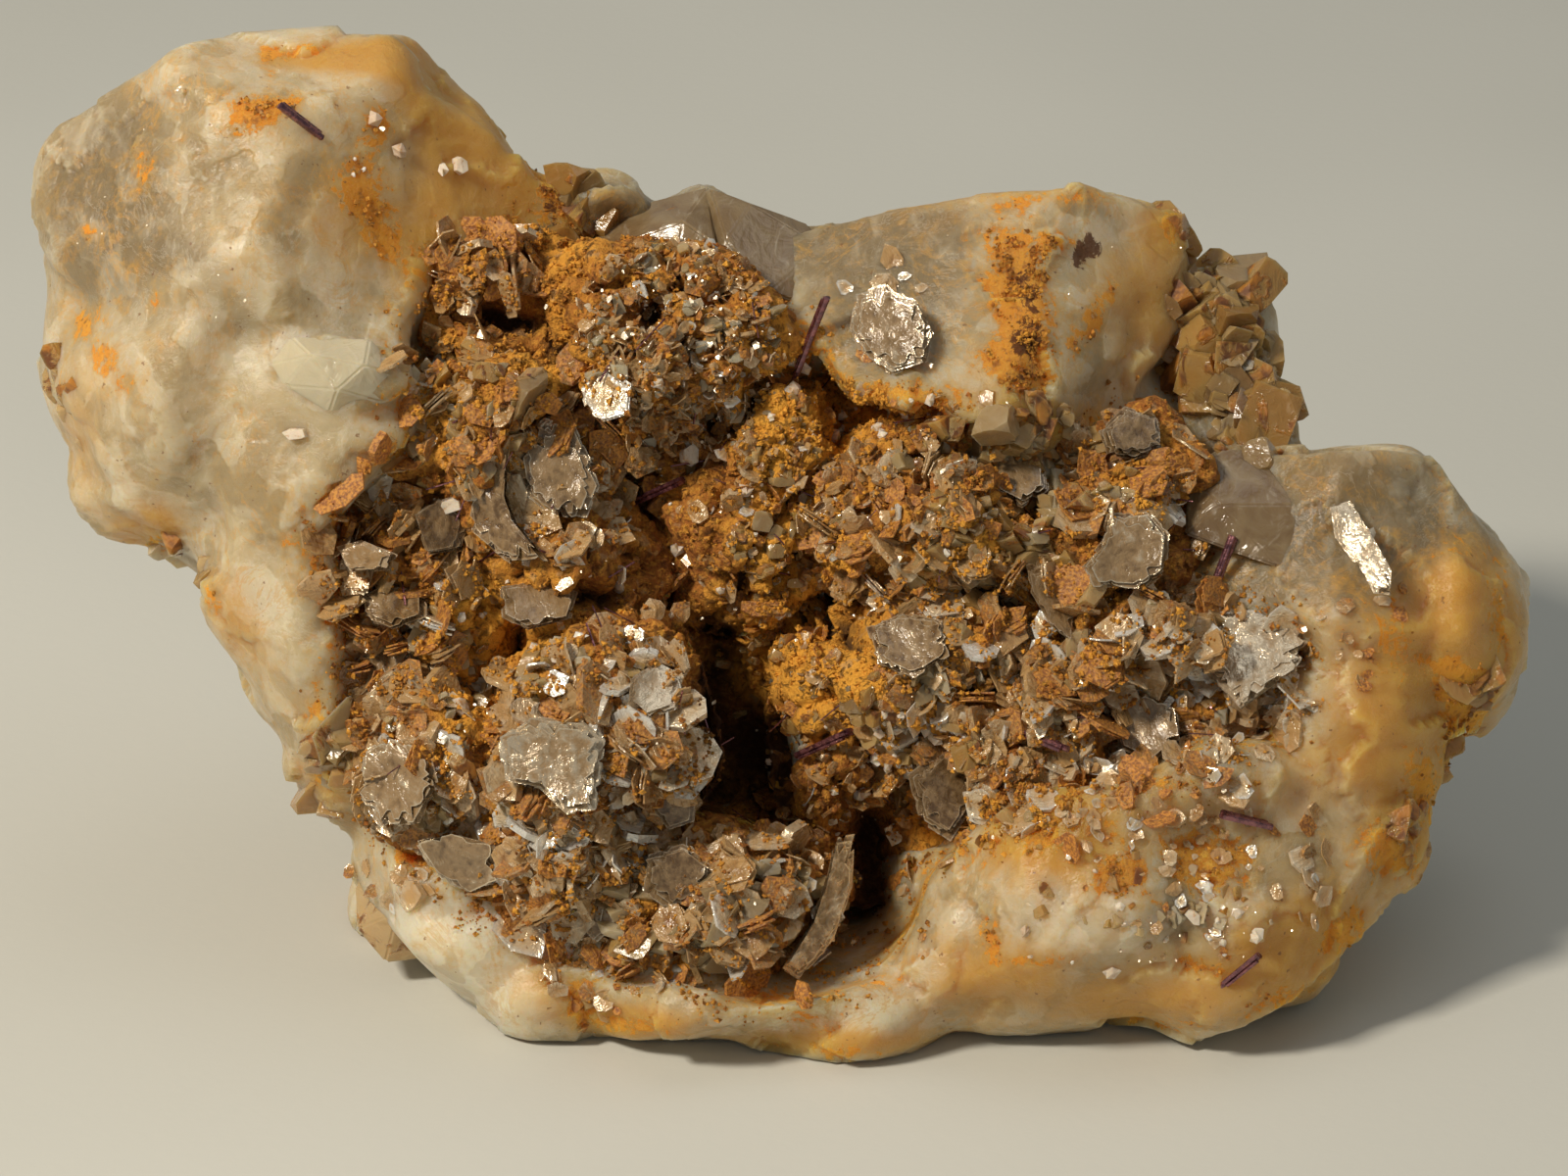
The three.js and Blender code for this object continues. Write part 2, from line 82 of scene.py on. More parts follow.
def unit(vectors):
    """Each row of an array at length 1."""
    return vectors / np.maximum(np.linalg.norm(vectors, axis=-1, keepdims=True), 1e-9)


def random_directions(random, count):
    """Directions with no preference: three normal numbers each, brought to length 1."""
    return unit(random.normal(size=(count, 3)))


def rise(values, low, high):
    """0 below low, 1 above high, and the cubic 3t^2 - 2t^3 between them."""
    t = np.clip((values - low) / (high - low), 0, 1)
    return t * t * (3 - 2 * t)


LATTICE = np.random.default_rng(41)
SHUFFLE = LATTICE.permutation(256)
SLOPES = random_directions(LATTICE, 256)


def noise(points, size, seed=0):
    """Gradient noise, about -1 to 1: each corner of a lattice with that spacing has a random slope, and
    a point blends the eight slopes round it by the curve 6t^5 - 15t^4 + 10t^3."""
    scaled = points / size + seed * 17.31
    cell = np.floor(scaled).astype(int)
    inside = scaled - cell
    blend = inside ** 3 * (inside * (inside * 6 - 15) + 10)
    total = np.zeros(len(points))
    for corner in np.ndindex(2, 2, 2):
        x, y, z = (cell + corner).T & 255
        slope = SLOPES[SHUFFLE[(SHUFFLE[(SHUFFLE[x] + y) & 255] + z) & 255]]
        share = np.prod(np.where(corner, blend, 1 - blend), axis=1)
        total += share * np.sum(slope * (inside - corner), axis=1)
    return 1.7 * total


def fractal(points, size, octaves, seed=0):
    """Gradient noise added to itself at half the size and half the height, octaves times."""
    return sum(noise(points, size / 2 ** k, seed + k) / 2 ** k for k in range(octaves))


def steps(height, width):
    """A staircase less its slope: 0 to 1 along each step of that width, dropping back over its last tenth."""
    part = height / width % 1
    return part * (1 - rise(part, 0.88, 1))


def outline_distance(xy):
    """How far points of the face lie outside the crust's outline; negative inside it."""
    end = np.roll(CRUST_OUTLINE, -1, axis=0)
    nearest = np.full(len(xy), np.inf)
    crossings = np.zeros(len(xy), int)
    for a, b, d in zip(CRUST_OUTLINE, end, end - CRUST_OUTLINE):
        along = np.clip((xy - a) @ d / (d @ d), 0, 1)
        nearest = np.minimum(nearest, np.linalg.norm(xy - a - along[:, None] * d, axis=1))
        spans = (a[1] > xy[:, 1]) != (b[1] > xy[:, 1])
        crossings += spans & (xy[:, 0] < a[0] + (xy[:, 1] - a[1]) * d[0] / (d[1] or 1e-9))
    return np.where(crossings % 2, -nearest, nearest)


# Meshes from arrays.

def mesh_from(name, points, triangles):
    """A mesh from points in mm and triangles."""
    mesh = bpy.data.meshes.new(name)
    mesh.vertices.add(len(points))
    mesh.vertices.foreach_set("co", (points * MM).astype(np.float32).ravel())
    mesh.loops.add(triangles.size)
    mesh.loops.foreach_set("vertex_index", triangles.astype(np.int32).ravel())
    mesh.polygons.add(len(triangles))
    mesh.polygons.foreach_set("loop_start", np.arange(0, triangles.size, 3, dtype=np.int32))
    mesh.update(calc_edges=True)
    return mesh


def as_arrays(mesh):
    """A triangle mesh's points in mm and its triangles."""
    points, triangles = np.zeros(len(mesh.vertices) * 3), np.zeros(len(mesh.loops), np.int32)
    mesh.vertices.foreach_get("co", points)
    mesh.loops.foreach_get("vertex_index", triangles)
    return points.reshape(-1, 3) / MM, triangles.reshape(-1, 3)


def give(mesh, **fields):
    """Adds a number for each point under each name, for the materials to read."""
    for name, values in fields.items():
        attribute = mesh.attributes.new(name, "FLOAT", "POINT")
        attribute.data.foreach_set("value", np.asarray(values, np.float32))


def piece(name, mesh, material, slot, *nodes, smooth=False):
    """Puts a mesh in the scene as a piece of the specimen, in place of the CAD nodes named."""
    mesh.materials.append(material)
    if smooth:
        mesh.shade_smooth()
    else:
        mesh.shade_flat()
    thing = bpy.data.objects.new(name, mesh)
    bpy.context.scene.collection.objects.link(thing)
    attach(thing, "root")
    if nodes:
        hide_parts(*nodes)
    return thing


def capped_rows(rows, columns):
    """Triangles of a closed surface: rows of points that run round it anticlockwise as seen from its first
    end, numbered row after row, with a last two points that close the first row and the last."""
    row, column = np.meshgrid(np.arange(rows), np.arange(columns), indexing="ij")
    here = row * columns + column
    beside = row * columns + (column + 1) % columns
    first, last = rows * columns, rows * columns + 1
    top = np.stack([np.full(columns, first), here[0], beside[0]], axis=1)
    bottom = np.stack([np.full(columns, last), beside[-1], here[-1]], axis=1)
    near, near_beside = here[:-1].ravel(), beside[:-1].ravel()
    far, far_beside = here[1:].ravel(), beside[1:].ravel()
    walls = np.concatenate([
        np.stack([near, far, far_beside], axis=1),
        np.stack([near, far_beside, near_beside], axis=1),
    ])
    return np.concatenate([top, walls, bottom])


def many(name, points, triangles, **fields):
    """One mesh of many small shapes: points is (shapes, points of each, 3), and a field has a number for
    each shape, or for each of its points too."""
    shapes, corners = points.shape[:2]
    offsets = np.arange(shapes)[:, None, None] * corners
    mesh = mesh_from(name, points.reshape(-1, 3), (triangles[None] + offsets).reshape(-1, 3))
    for field, values in fields.items():
        column = values if values.ndim == 2 else values[:, None]
        give(mesh, **{field: np.broadcast_to(column, (shapes, corners)).ravel()})
    return mesh


def across_and_along(facings, spins):
    """Two directions square to each facing and to each other, turned about it by the spin."""
    helper = np.where(np.abs(facings[:, 2:]) < 0.9, [[0.0, 0.0, 1.0]], [[1.0, 0.0, 0.0]])
    a = unit(np.cross(helper, facings))
    b = np.cross(facings, a)
    cos, sin = np.cos(spins)[:, None], np.sin(spins)[:, None]
    return cos * a + sin * b, cos * b - sin * a


def placed(local, places, facings, spins):
    """Shapes about their own middles, (shapes, points, 3) with z along the facing, put in their places."""
    across, along = across_and_along(facings, spins)
    axes = np.stack([across, along, facings], axis=1)
    return np.einsum("nki,nij->nkj", local, axes) + places[:, None]


def plate_shapes(radii, thicknesses, bends, sides, random):
    """Uneven thin polygons: a ring of corners at random reaches above, the same ring below, and the two
    middles raised by the bend."""
    count = len(radii)
    angle = (np.arange(sides) + random.uniform(-0.3, 0.3, (count, sides))) * 2 * np.pi / sides
    reach = radii[:, None] * random.uniform(0.74, 1.12, (count, sides))
    narrow = random.uniform(0.55, 1, (count, 1))
    ring = np.stack([reach * np.cos(angle), narrow * reach * np.sin(angle), np.zeros_like(angle)], axis=-1)
    ring[..., 2] += random.normal(0, 0.03, (count, sides)) * radii[:, None]
    half = np.array([0.0, 0.0, 0.5]) * thicknesses[:, None, None]
    middle = np.zeros((count, 1, 3))
    middle[:, 0, 2] = bends * radii
    return np.concatenate([ring + half, ring - half, middle + half, middle - half], axis=1)


BOX_CORNERS = np.array(list(np.ndindex(2, 2, 2)))
# The corner at the other end of each corner's three edges.
ALONG_AXIS = np.arange(8)[:, None] ^ np.array([4, 2, 1])


def block_triangles():
    """Triangles of a box with its corners cut off. Point 3c + a lies on the edge that leaves corner c along
    axis a. A cut corner is one triangle, and a side of the box is a fan over the eight points round it."""
    triangles = []
    for corner, signs in enumerate(BOX_CORNERS):
        second, third = (1, 2) if signs.sum() % 2 else (2, 1)
        triangles.append([3 * corner, 3 * corner + second, 3 * corner + third])
    for axis in range(3):
        b, c = (axis + 1) % 3, (axis + 2) % 3
        for side in (0, 1):
            ring = []
            for at_b, at_c, enter, leave in ((0, 0, c, b), (1, 0, b, c), (1, 1, c, b), (0, 1, b, c)):
                place = np.zeros(3, int)
                place[[axis, b, c]] = side, at_b, at_c
                corner = place @ [4, 2, 1]
                ring += [3 * corner + enter, 3 * corner + leave]
            ring = ring if side else ring[::-1]
            triangles += [[ring[0], ring[k], ring[k + 1]] for k in range(1, 7)]
    return np.array(triangles)


BLOCK_TRIANGLES = block_triangles()


def shard_shapes(halves, random):
    """Broken crystals: boxes that narrow and lean along z, each corner cut off by the plane through points at
    random shares along its three edges, so that every face is flat."""
    count = len(halves)
    signs = BOX_CORNERS * 2.0 - 1
    narrow = 1 + random.uniform(-0.35, 0.35, (count, 1, 1)) * signs[:, 2:]
    corners = np.concatenate([signs[:, :2] * narrow, np.broadcast_to(signs[:, 2:], (count, 8, 1))], axis=2)
    corners[..., :2] += random.uniform(-0.55, 0.55, (count, 1, 2)) * signs[:, 2:]
    share = random.uniform(0.06, 0.48, (count, 8, 3, 1))
    points = corners[:, :, None] * (1 - share) + corners[:, ALONG_AXIS] * share
    return points.reshape(count, 24, 3) * halves[:, None]


def grain_shapes(sizes, random):
    """Crumbs: twenty-sided shapes, two twisted rings of five corners and two ends, each corner pushed in or
    out at random."""
    count = len(sizes)
    turn = 2 * np.pi / 5
    angles = np.concatenate([np.arange(5) * turn, (np.arange(5) + 0.5) * turn])
    height = np.repeat([0.45, -0.45], 5)
    body = np.stack([0.9 * np.cos(angles), 0.9 * np.sin(angles), height], axis=1)
    body = np.concatenate([body, [[0, 0, 1.0], [0, 0, -1.0]]])
    reach = random.uniform(0.6, 1.2, (count, 12, 1)) * sizes[:, None, None]
    stretch = random.uniform(0.65, 1.25, (count, 1, 3))
    return body * reach * stretch


def crumb_shapes(sizes, random):
    """The smallest crumbs: a ring of four corners and two ends, each pushed in or out at random."""
    body = np.array([[1, 0, 0], [0, 1, 0], [-1, 0, 0], [0, -1, 0], [0, 0, 1], [0, 0, -1]], float)
    return body * random.uniform(0.6, 1.3, (len(sizes), 6, 1)) * sizes[:, None, None]


def needle_shapes(radii, lengths, sides, random):
    """Thin prisms along z: a ring with each corner drawn in or out at random, at each end, and a middle to
    close it.
    """
    count = len(radii)
    angle = np.arange(sides) * 2 * np.pi / sides
    groove = random.uniform(0.72, 1.08, (count, sides))
    ring = radii[:, None, None] * groove[..., None] * np.stack([np.cos(angle), np.sin(angle)], axis=1)
    ring = np.concatenate([ring, np.zeros((count, sides, 1))], axis=2)
    end = np.array([0.0, 0.0, 0.5]) * lengths[:, None, None]
    return np.concatenate([ring + end, ring * [0.85, 0.85, 1] - end, end, -end], axis=1)


# Skins over the CAD solids.

class Skin:
    """A closed surface as arrays: points in mm, triangles, and the edges between points."""

    def __init__(self, points, triangles):
        self.points = points
        self.triangles = triangles
        pairs = np.concatenate([triangles[:, [0, 1]], triangles[:, [1, 2]], triangles[:, [2, 0]]])
        self.edges = np.unique(np.sort(pairs, axis=1), axis=0)
        self.reach = np.bincount(self.edges.ravel(), minlength=len(points))

    def normals(self):
        """The way out at each point: the sum of its triangles' area vectors, at length 1."""
        a, b, c = (self.points[self.triangles[:, k]] for k in range(3))
        facing = np.cross(b - a, c - a)
        total = np.zeros_like(self.points)
        for axis in range(3):
            for corner in range(3):
                total[:, axis] += np.bincount(self.triangles[:, corner], facing[:, axis], len(self.points))
        return unit(total)

    def around(self):
        """The mean of each point's neighbours."""
        first, second = self.edges.T
        total = np.zeros_like(self.points)
        for axis in range(3):
            total[:, axis] = np.bincount(first, self.points[second, axis], len(self.points))
            total[:, axis] += np.bincount(second, self.points[first, axis], len(self.points))
        return total / self.reach[:, None]

    def smooth(self, rounds, share):
        """Moves each point its share of the way to its neighbours' mean, again and again."""
        share = np.broadcast_to(share, len(self.points))[:, None]
        for _ in range(rounds):
            self.points = self.points + share * (self.around() - self.points)

    def soften(self, rounds):
        """Rounds off small corners and keeps the volume: each smoothing is followed by a push back out."""
        for _ in range(rounds):
            self.smooth(1, 0.5)
            self.smooth(1, -0.52)

    def hollowness(self, rounds=6):
        """How far each point lies below the smoothed surface, in mm: positive in creases."""
        smoothed = Skin(self.points, self.triangles)
        smoothed.smooth(rounds, 0.5)
        return np.sum((smoothed.points - self.points) * self.normals(), axis=1)


def cad_shape(names, grow=0.0):
    """CAD nodes as one mesh, their loose triangles joined at shared points, pushed out by some mm."""
    shape = bmesh.new()
    for name in names:
        shape.from_mesh(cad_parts[name].data)
    bmesh.ops.remove_doubles(shape, verts=shape.verts, dist=0.002 * MM)
    mesh = bpy.data.meshes.new("shape")
    shape.to_mesh(mesh)
    shape.free()
    places, normals = np.zeros(len(mesh.vertices) * 3), np.zeros(len(mesh.vertices) * 3)
    mesh.vertices.foreach_get("co", places)
    mesh.vertex_normals.foreach_get("vector", normals)
    mesh.vertices.foreach_set("co", places + normals * grow * MM)
    return mesh


def largest_shell(points, triangles):
    """The largest connected part of a surface. Each point takes the lowest number among its neighbours'
    until nothing changes."""
    label = np.arange(len(points))
    while True:
        lowest = label[triangles].min(axis=1)
        new = label.copy()
        for corner in range(3):
            np.minimum.at(new, triangles[:, corner], lowest)
        new = new[new]
        if np.array_equal(new, label):
            break
        label = new
    keep = label == np.bincount(label).argmax()
    number = np.cumsum(keep) - 1
    return points[keep], number[triangles[keep[triangles[:, 0]]]]


def remeshed(meshes, voxel):
    """The outer surface of overlapping meshes as an even skin with that spacing in mm."""
    joined = bmesh.new()
    for mesh in meshes:
        joined.from_mesh(mesh)
    whole = bpy.data.meshes.new("whole")
    joined.to_mesh(whole)
    joined.free()
    thing = bpy.data.objects.new("whole", whole)
    bpy.context.scene.collection.objects.link(thing)
    modifier = thing.modifiers.new("even", "REMESH")
    modifier.mode = "VOXEL"
    modifier.voxel_size = voxel * MM
    result = thing.evaluated_get(bpy.context.evaluated_depsgraph_get()).to_mesh()
    result.calc_loop_triangles()
    points = np.zeros(len(result.vertices) * 3)
    result.vertices.foreach_get("co", points)
    triangles = np.zeros(len(result.loop_triangles) * 3, np.int32)
    result.loop_triangles.foreach_get("vertices", triangles)
    bpy.data.objects.remove(thing)
    return Skin(*largest_shell(points.reshape(-1, 3) / MM, triangles.reshape(-1, 3)))


def own_axes(name):
    """A CAD node's middle, its three own directions from longest to shortest, and its half sizes, in mm."""
    points, _ = as_arrays(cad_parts[name].data)
    middle = (points.max(0) + points.min(0)) / 2
    _, _, axes = np.linalg.svd(points - points.mean(0), full_matrices=False)
    if np.linalg.det(axes) < 0:
        axes[1] *= -1
    local = (points - middle) @ axes.T
    shift = (local.max(0) + local.min(0)) / 2
    return middle + shift @ axes, axes, (local.max(0) - local.min(0)) / 2


BOOKS = sorted(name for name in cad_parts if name.startswith("mica_book"))
NEEDLES = sorted(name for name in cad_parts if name.startswith("rutile_needle"))
RHOMBS = sorted(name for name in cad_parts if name.startswith("small_adularia"))
STANDING = {name: own_axes(name) for name in BOOKS + NEEDLES + RHOMBS}


def fill_sockets(skin, margin=0.85, rounds=160):
    """Draws the surface tight like a film across the sockets of the standing pieces."""
    taut = np.zeros(len(skin.points), bool)
    for middle, axes, half in STANDING.values():
        outside = np.maximum(np.abs((skin.points - middle) @ axes.T) - half, 0)
        taut |= np.linalg.norm(outside, axis=1) < margin
    skin.smooth(rounds, np.where(taut, 0.7, 0.0))


# Where the stains and tints lie, with a spot of painted shade and one partly of painted light.

# Soft spots on the face: x and y in the photograph's pixels, half sizes, turn in degrees, strength.
ORANGE_SPOTS = [
    (262, 122, 30, 24, 0, 0.9), (300, 112, 22, 10, 20, 0.6), (275, 68, 8, 22, 20, 0.6),
    (386, 128, 14, 24, 0, 0.9), (372, 190, 34, 44, 20, 0.75), (392, 245, 16, 30, 30, 0.8),
    (300, 50, 40, 10, 8, 0.7), (150, 172, 12, 20, 0, 0.7), (92, 238, 16, 8, 0, 0.7),
    (88, 330, 22, 16, 30, 0.8), (112, 366, 18, 20, 20, 0.8), (130, 395, 30, 12, 20, 0.6),
    (165, 310, 10, 14, 0, 0.6), (60, 390, 16, 20, 0, 0.5), (140, 280, 16, 8, 0, 0.5),
    (150, 552, 26, 10, 20, 0.7), (215, 610, 12, 22, 30, 0.6), (1042, 300, 32, 88, 8, 1.05),
    (1030, 372, 34, 26, 0, 0.9), (1078, 245, 22, 12, 0, 0.8), (1090, 195, 60, 9, 4, 0.5),
    (1120, 320, 14, 56, -28, 0.8), (880, 410, 70, 22, 0, 0.7), (1210, 215, 26, 16, 40, 0.7),
    (1270, 330, 26, 70, 12, 0.7), (1055, 830, 24, 34, 0, 1.2), (1135, 888, 20, 16, 30, 1.1),
    (1500, 760, 24, 90, 8, 0.9), (1180, 870, 140, 50, 10, 0.35), (1010, 955, 14, 28, 0, 0.8),
    (1060, 975, 40, 10, 0, 0.6), (1230, 880, 40, 26, -20, 0.7), (1240, 985, 50, 14, -15, 0.55),
    (1500, 705, 40, 24, -30, 0.85), (1455, 800, 24, 50, 12, 0.75), (1420, 870, 30, 40, 30, 0.85),
    (1370, 950, 34, 30, 45, 0.8), (1300, 1018, 50, 14, 10, 0.7), (1180, 1045, 60, 10, 0, 0.5),
    (1530, 620, 20, 60, 0, 0.5), (1490, 560, 30, 20, 0, 0.4), (1420, 650, 30, 50, 20, 0.55),
    (640, 1045, 46, 12, 0, 0.75), (860, 1072, 60, 10, 0, 0.6), (560, 180, 20, 40, 20, 0.9),
    (590, 1020, 16, 24, 0, 0.7), (430, 600, 20, 40, 0, 0.5), (330, 780, 20, 40, 0, 0.5),
]
AMBER_SPOTS = [
    (480, 120, 56, 80, 30, 1.4), (1150, 970, 230, 60, 0, 0.3), (1250, 810, 130, 70, 0, 0.35),
    (505, 170, 26, 54, 30, 0.9), (430, 55, 80, 26, 0, 0.9), (440, 240, 50, 60, 0, 0.7),
    (330, 60, 80, 16, 0, 0.5), (350, 220, 50, 70, 20, 0.4), (1000, 190, 200, 12, 4, 0.4),
    (1180, 300, 50, 90, -20, 0.65), (1060, 430, 70, 30, -20, 0.8), (1210, 220, 30, 26, 0, 0.7),
    (1420, 760, 70, 130, 20, 0.7), (1480, 780, 50, 110, 10, 1.0), (1050, 830, 50, 40, 0, 0.8),
    (1500, 640, 60, 80, 0, 1.1), (1330, 960, 90, 60, 30, 0.6), (1080, 850, 60, 50, 0, 0.6),
    (640, 1040, 60, 20, 0, 0.9), (850, 1062, 130, 16, 0, 0.7), (140, 540, 50, 24, 20, 0.6),
    (75, 440, 40, 70, 0, 0.4), (1000, 1000, 70, 40, 0, 0.5), (240, 640, 30, 60, 30, 0.4),
    (560, 1000, 40, 40, 0, 0.5), (330, 790, 40, 60, 0, 0.5), (1160, 1020, 90, 30, 0, 0.5),
]
GREY_AND_SHADE_SPOTS = [
    (910, 250, 120, 70, 0, 0.9), (700, 230, 100, 50, 0, 1.0), (900, 350, 90, 60, 0, 0.7),
    (1330, 540, 150, 84, 0, 1.4), (1270, 370, 50, 100, 0, 0.9), (870, 1020, 90, 40, 0, 0.6),
    (755, 950, 60, 50, 0, 0.8), (110, 200, 90, 130, 0, 1.0), (200, 270, 70, 24, -15, 0.4),
    (1200, 790, 60, 40, 0, 0.4), (250, 330, 40, 40, 0, 0.3), (1110, 420, 40, 40, 0, 0.6),
    # The spot at (1500, 600) is painted shade that darkens the right tip.
    (590, 190, 50, 20, 0, 0.6), (1500, 600, 60, 80, 0, 0.4),
]
WHITE_AND_LIGHT_SPOTS = [
    (480, 980, 130, 90, 40, 1.9), (870, 1030, 110, 40, 0, 0.9), (360, 310, 70, 50, 20, 0.5),
    (300, 560, 70, 50, 0, 0.4), (130, 500, 16, 40, 20, 0.9), (1240, 800, 60, 34, 0, 0.5),
    # The spot at (1110, 950) is milky, and its strength is partly painted light on the lower right swelling.
    (1110, 950, 80, 40, 0, 0.9), (330, 60, 50, 30, 0, 0.5), (1150, 320, 24, 70, -20, 0.4),
    (460, 790, 20, 20, 0, 0.4), (250, 110, 60, 40, 0, 0.3), (820, 1050, 50, 20, 0, 0.6),
    (340, 380, 60, 40, 0, 0.5), (150, 340, 60, 60, 0, 0.3), (280, 640, 60, 40, 0, 0.5),
    (1130, 840, 30, 24, 0, 0.4),
]
DARK_SPOTS = [
    (1050, 310, 22, 80, 8, 0.72), (1036, 392, 18, 16, 0, 0.6), (1285, 350, 30, 90, 0, 0.6),
    (1116, 244, 20, 16, -40, 1.0), (1104, 262, 10, 12, 0, 0.8), (85, 326, 10, 8, 0, 0.8),
    (1040, 350, 20, 14, 0, 0.7), (1280, 290, 16, 40, 10, 0.7), (1310, 400, 14, 40, 10, 0.7),
    (1215, 390, 12, 26, 20, 0.6), (560, 205, 14, 30, 20, 0.5), (1185, 935, 20, 10, 0, 0.5),
    (1500, 740, 30, 12, -30, 0.6), (1430, 870, 12, 30, 20, 0.5), (1240, 400, 40, 12, 20, 0.5),
    (500, 320, 60, 26, 0, 0.6), (640, 1035, 30, 8, 0, 0.4),
]
CLEAR_SPOTS = [
    (352, 382, 60, 30, -10, 0.9), (700, 225, 90, 50, 0, 0.9), (1340, 540, 80, 60, 0, 0.45),
    (870, 1020, 80, 34, 0, 0.5), (755, 950, 56, 46, 0, 0.7), (1280, 380, 44, 80, 0, 0.6),
    (1080, 420, 50, 30, 0, 0.4),
]


def spots(xy, table):
    """The sum of soft spots at points of the face: strength times e to the minus squared distance, each
    spot stretched to its half sizes and turned."""
    total = np.zeros(len(xy))
    for x, y, wide, high, turn, strength in table:
        offset = xy - from_photo(x, y)
        c, s = math.cos(math.radians(turn)), math.sin(math.radians(turn))
        a = (offset[:, 0] * c + offset[:, 1] * s) * PIXELS_PER_MM / wide
        b = (offset[:, 1] * c - offset[:, 0] * s) * PIXELS_PER_MM / high
        total += strength * np.exp(-(a * a + b * b))
    return total


def feldspar_fields(points, normals, creases):
    """How much of each stain and tint the feldspar has at points of its surface, with one grey spot of
    painted shade and one white spot partly of painted light. The spots colour the side that faces the viewer,
    and noise of the same scale carries on round the back."""
    face = on_face(points)
    shown = rise(normals @ OUTWARD, -0.25, 0.3)
    edge = outline_distance(face[:, :2])
    broad, medium = fractal(points, 9, 3, 3), fractal(points, 4, 3, 7)
    near_crust = np.exp(-(np.maximum(edge, 0) / 1.5) ** 2) * rise(face[:, 2], -8, -3)
    near_crust *= rise(medium, -0.5, 0.5)
    creased = 1.6 * np.maximum(creases, 0)

    def field(table, back):
        return shown * spots(face[:, :2], table) + (1 - shown) * back

    return {
        "orange": field(ORANGE_SPOTS, rise(medium, 0.2, 0.9)) + 0.55 * near_crust + creased,
        "amber": field(AMBER_SPOTS, rise(broad, 0.0, 0.8)),
        "grey": field(GREY_AND_SHADE_SPOTS, rise(-broad, 0.0, 0.8)),
        "white": field(WHITE_AND_LIGHT_SPOTS, rise(-medium, 0.2, 0.9)),
        "dark": field(DARK_SPOTS, 0.5 * rise(medium, 0.7, 1.1)) + 0.5 * near_crust,
        "clear": field(CLEAR_SPOTS, 0),
    }


# Materials.

class Value:
    """A number that varies over a surface: a socket whose sums and products add their Math nodes."""

    def __init__(self, finish, socket):
        self.finish = finish
        self.socket = socket

    def math(self, operation, *others):
        inputs = dict(enumerate((self, *others)))
        return self.finish.add("ShaderNodeMath", {"operation": operation}, inputs)

    def __add__(self, other):
        return self.math("ADD", other)

    def __mul__(self, other):
        return self.math("MULTIPLY", other)

    def __sub__(self, other):
        return self.math("SUBTRACT", other)

    def __rsub__(self, other):
        return self.math("MULTIPLY", -1).math("ADD", other)

    def rise(self, low, high, to_low=0.0, to_high=1.0):
        """Eases from one number to another as the value goes from low to high."""
        inputs = {"Value": self, "From Min": low, "From Max": high, "To Min": to_low, "To Max": to_high}
        return self.finish.add("ShaderNodeMapRange", {"interpolation_type": "SMOOTHSTEP"}, inputs)


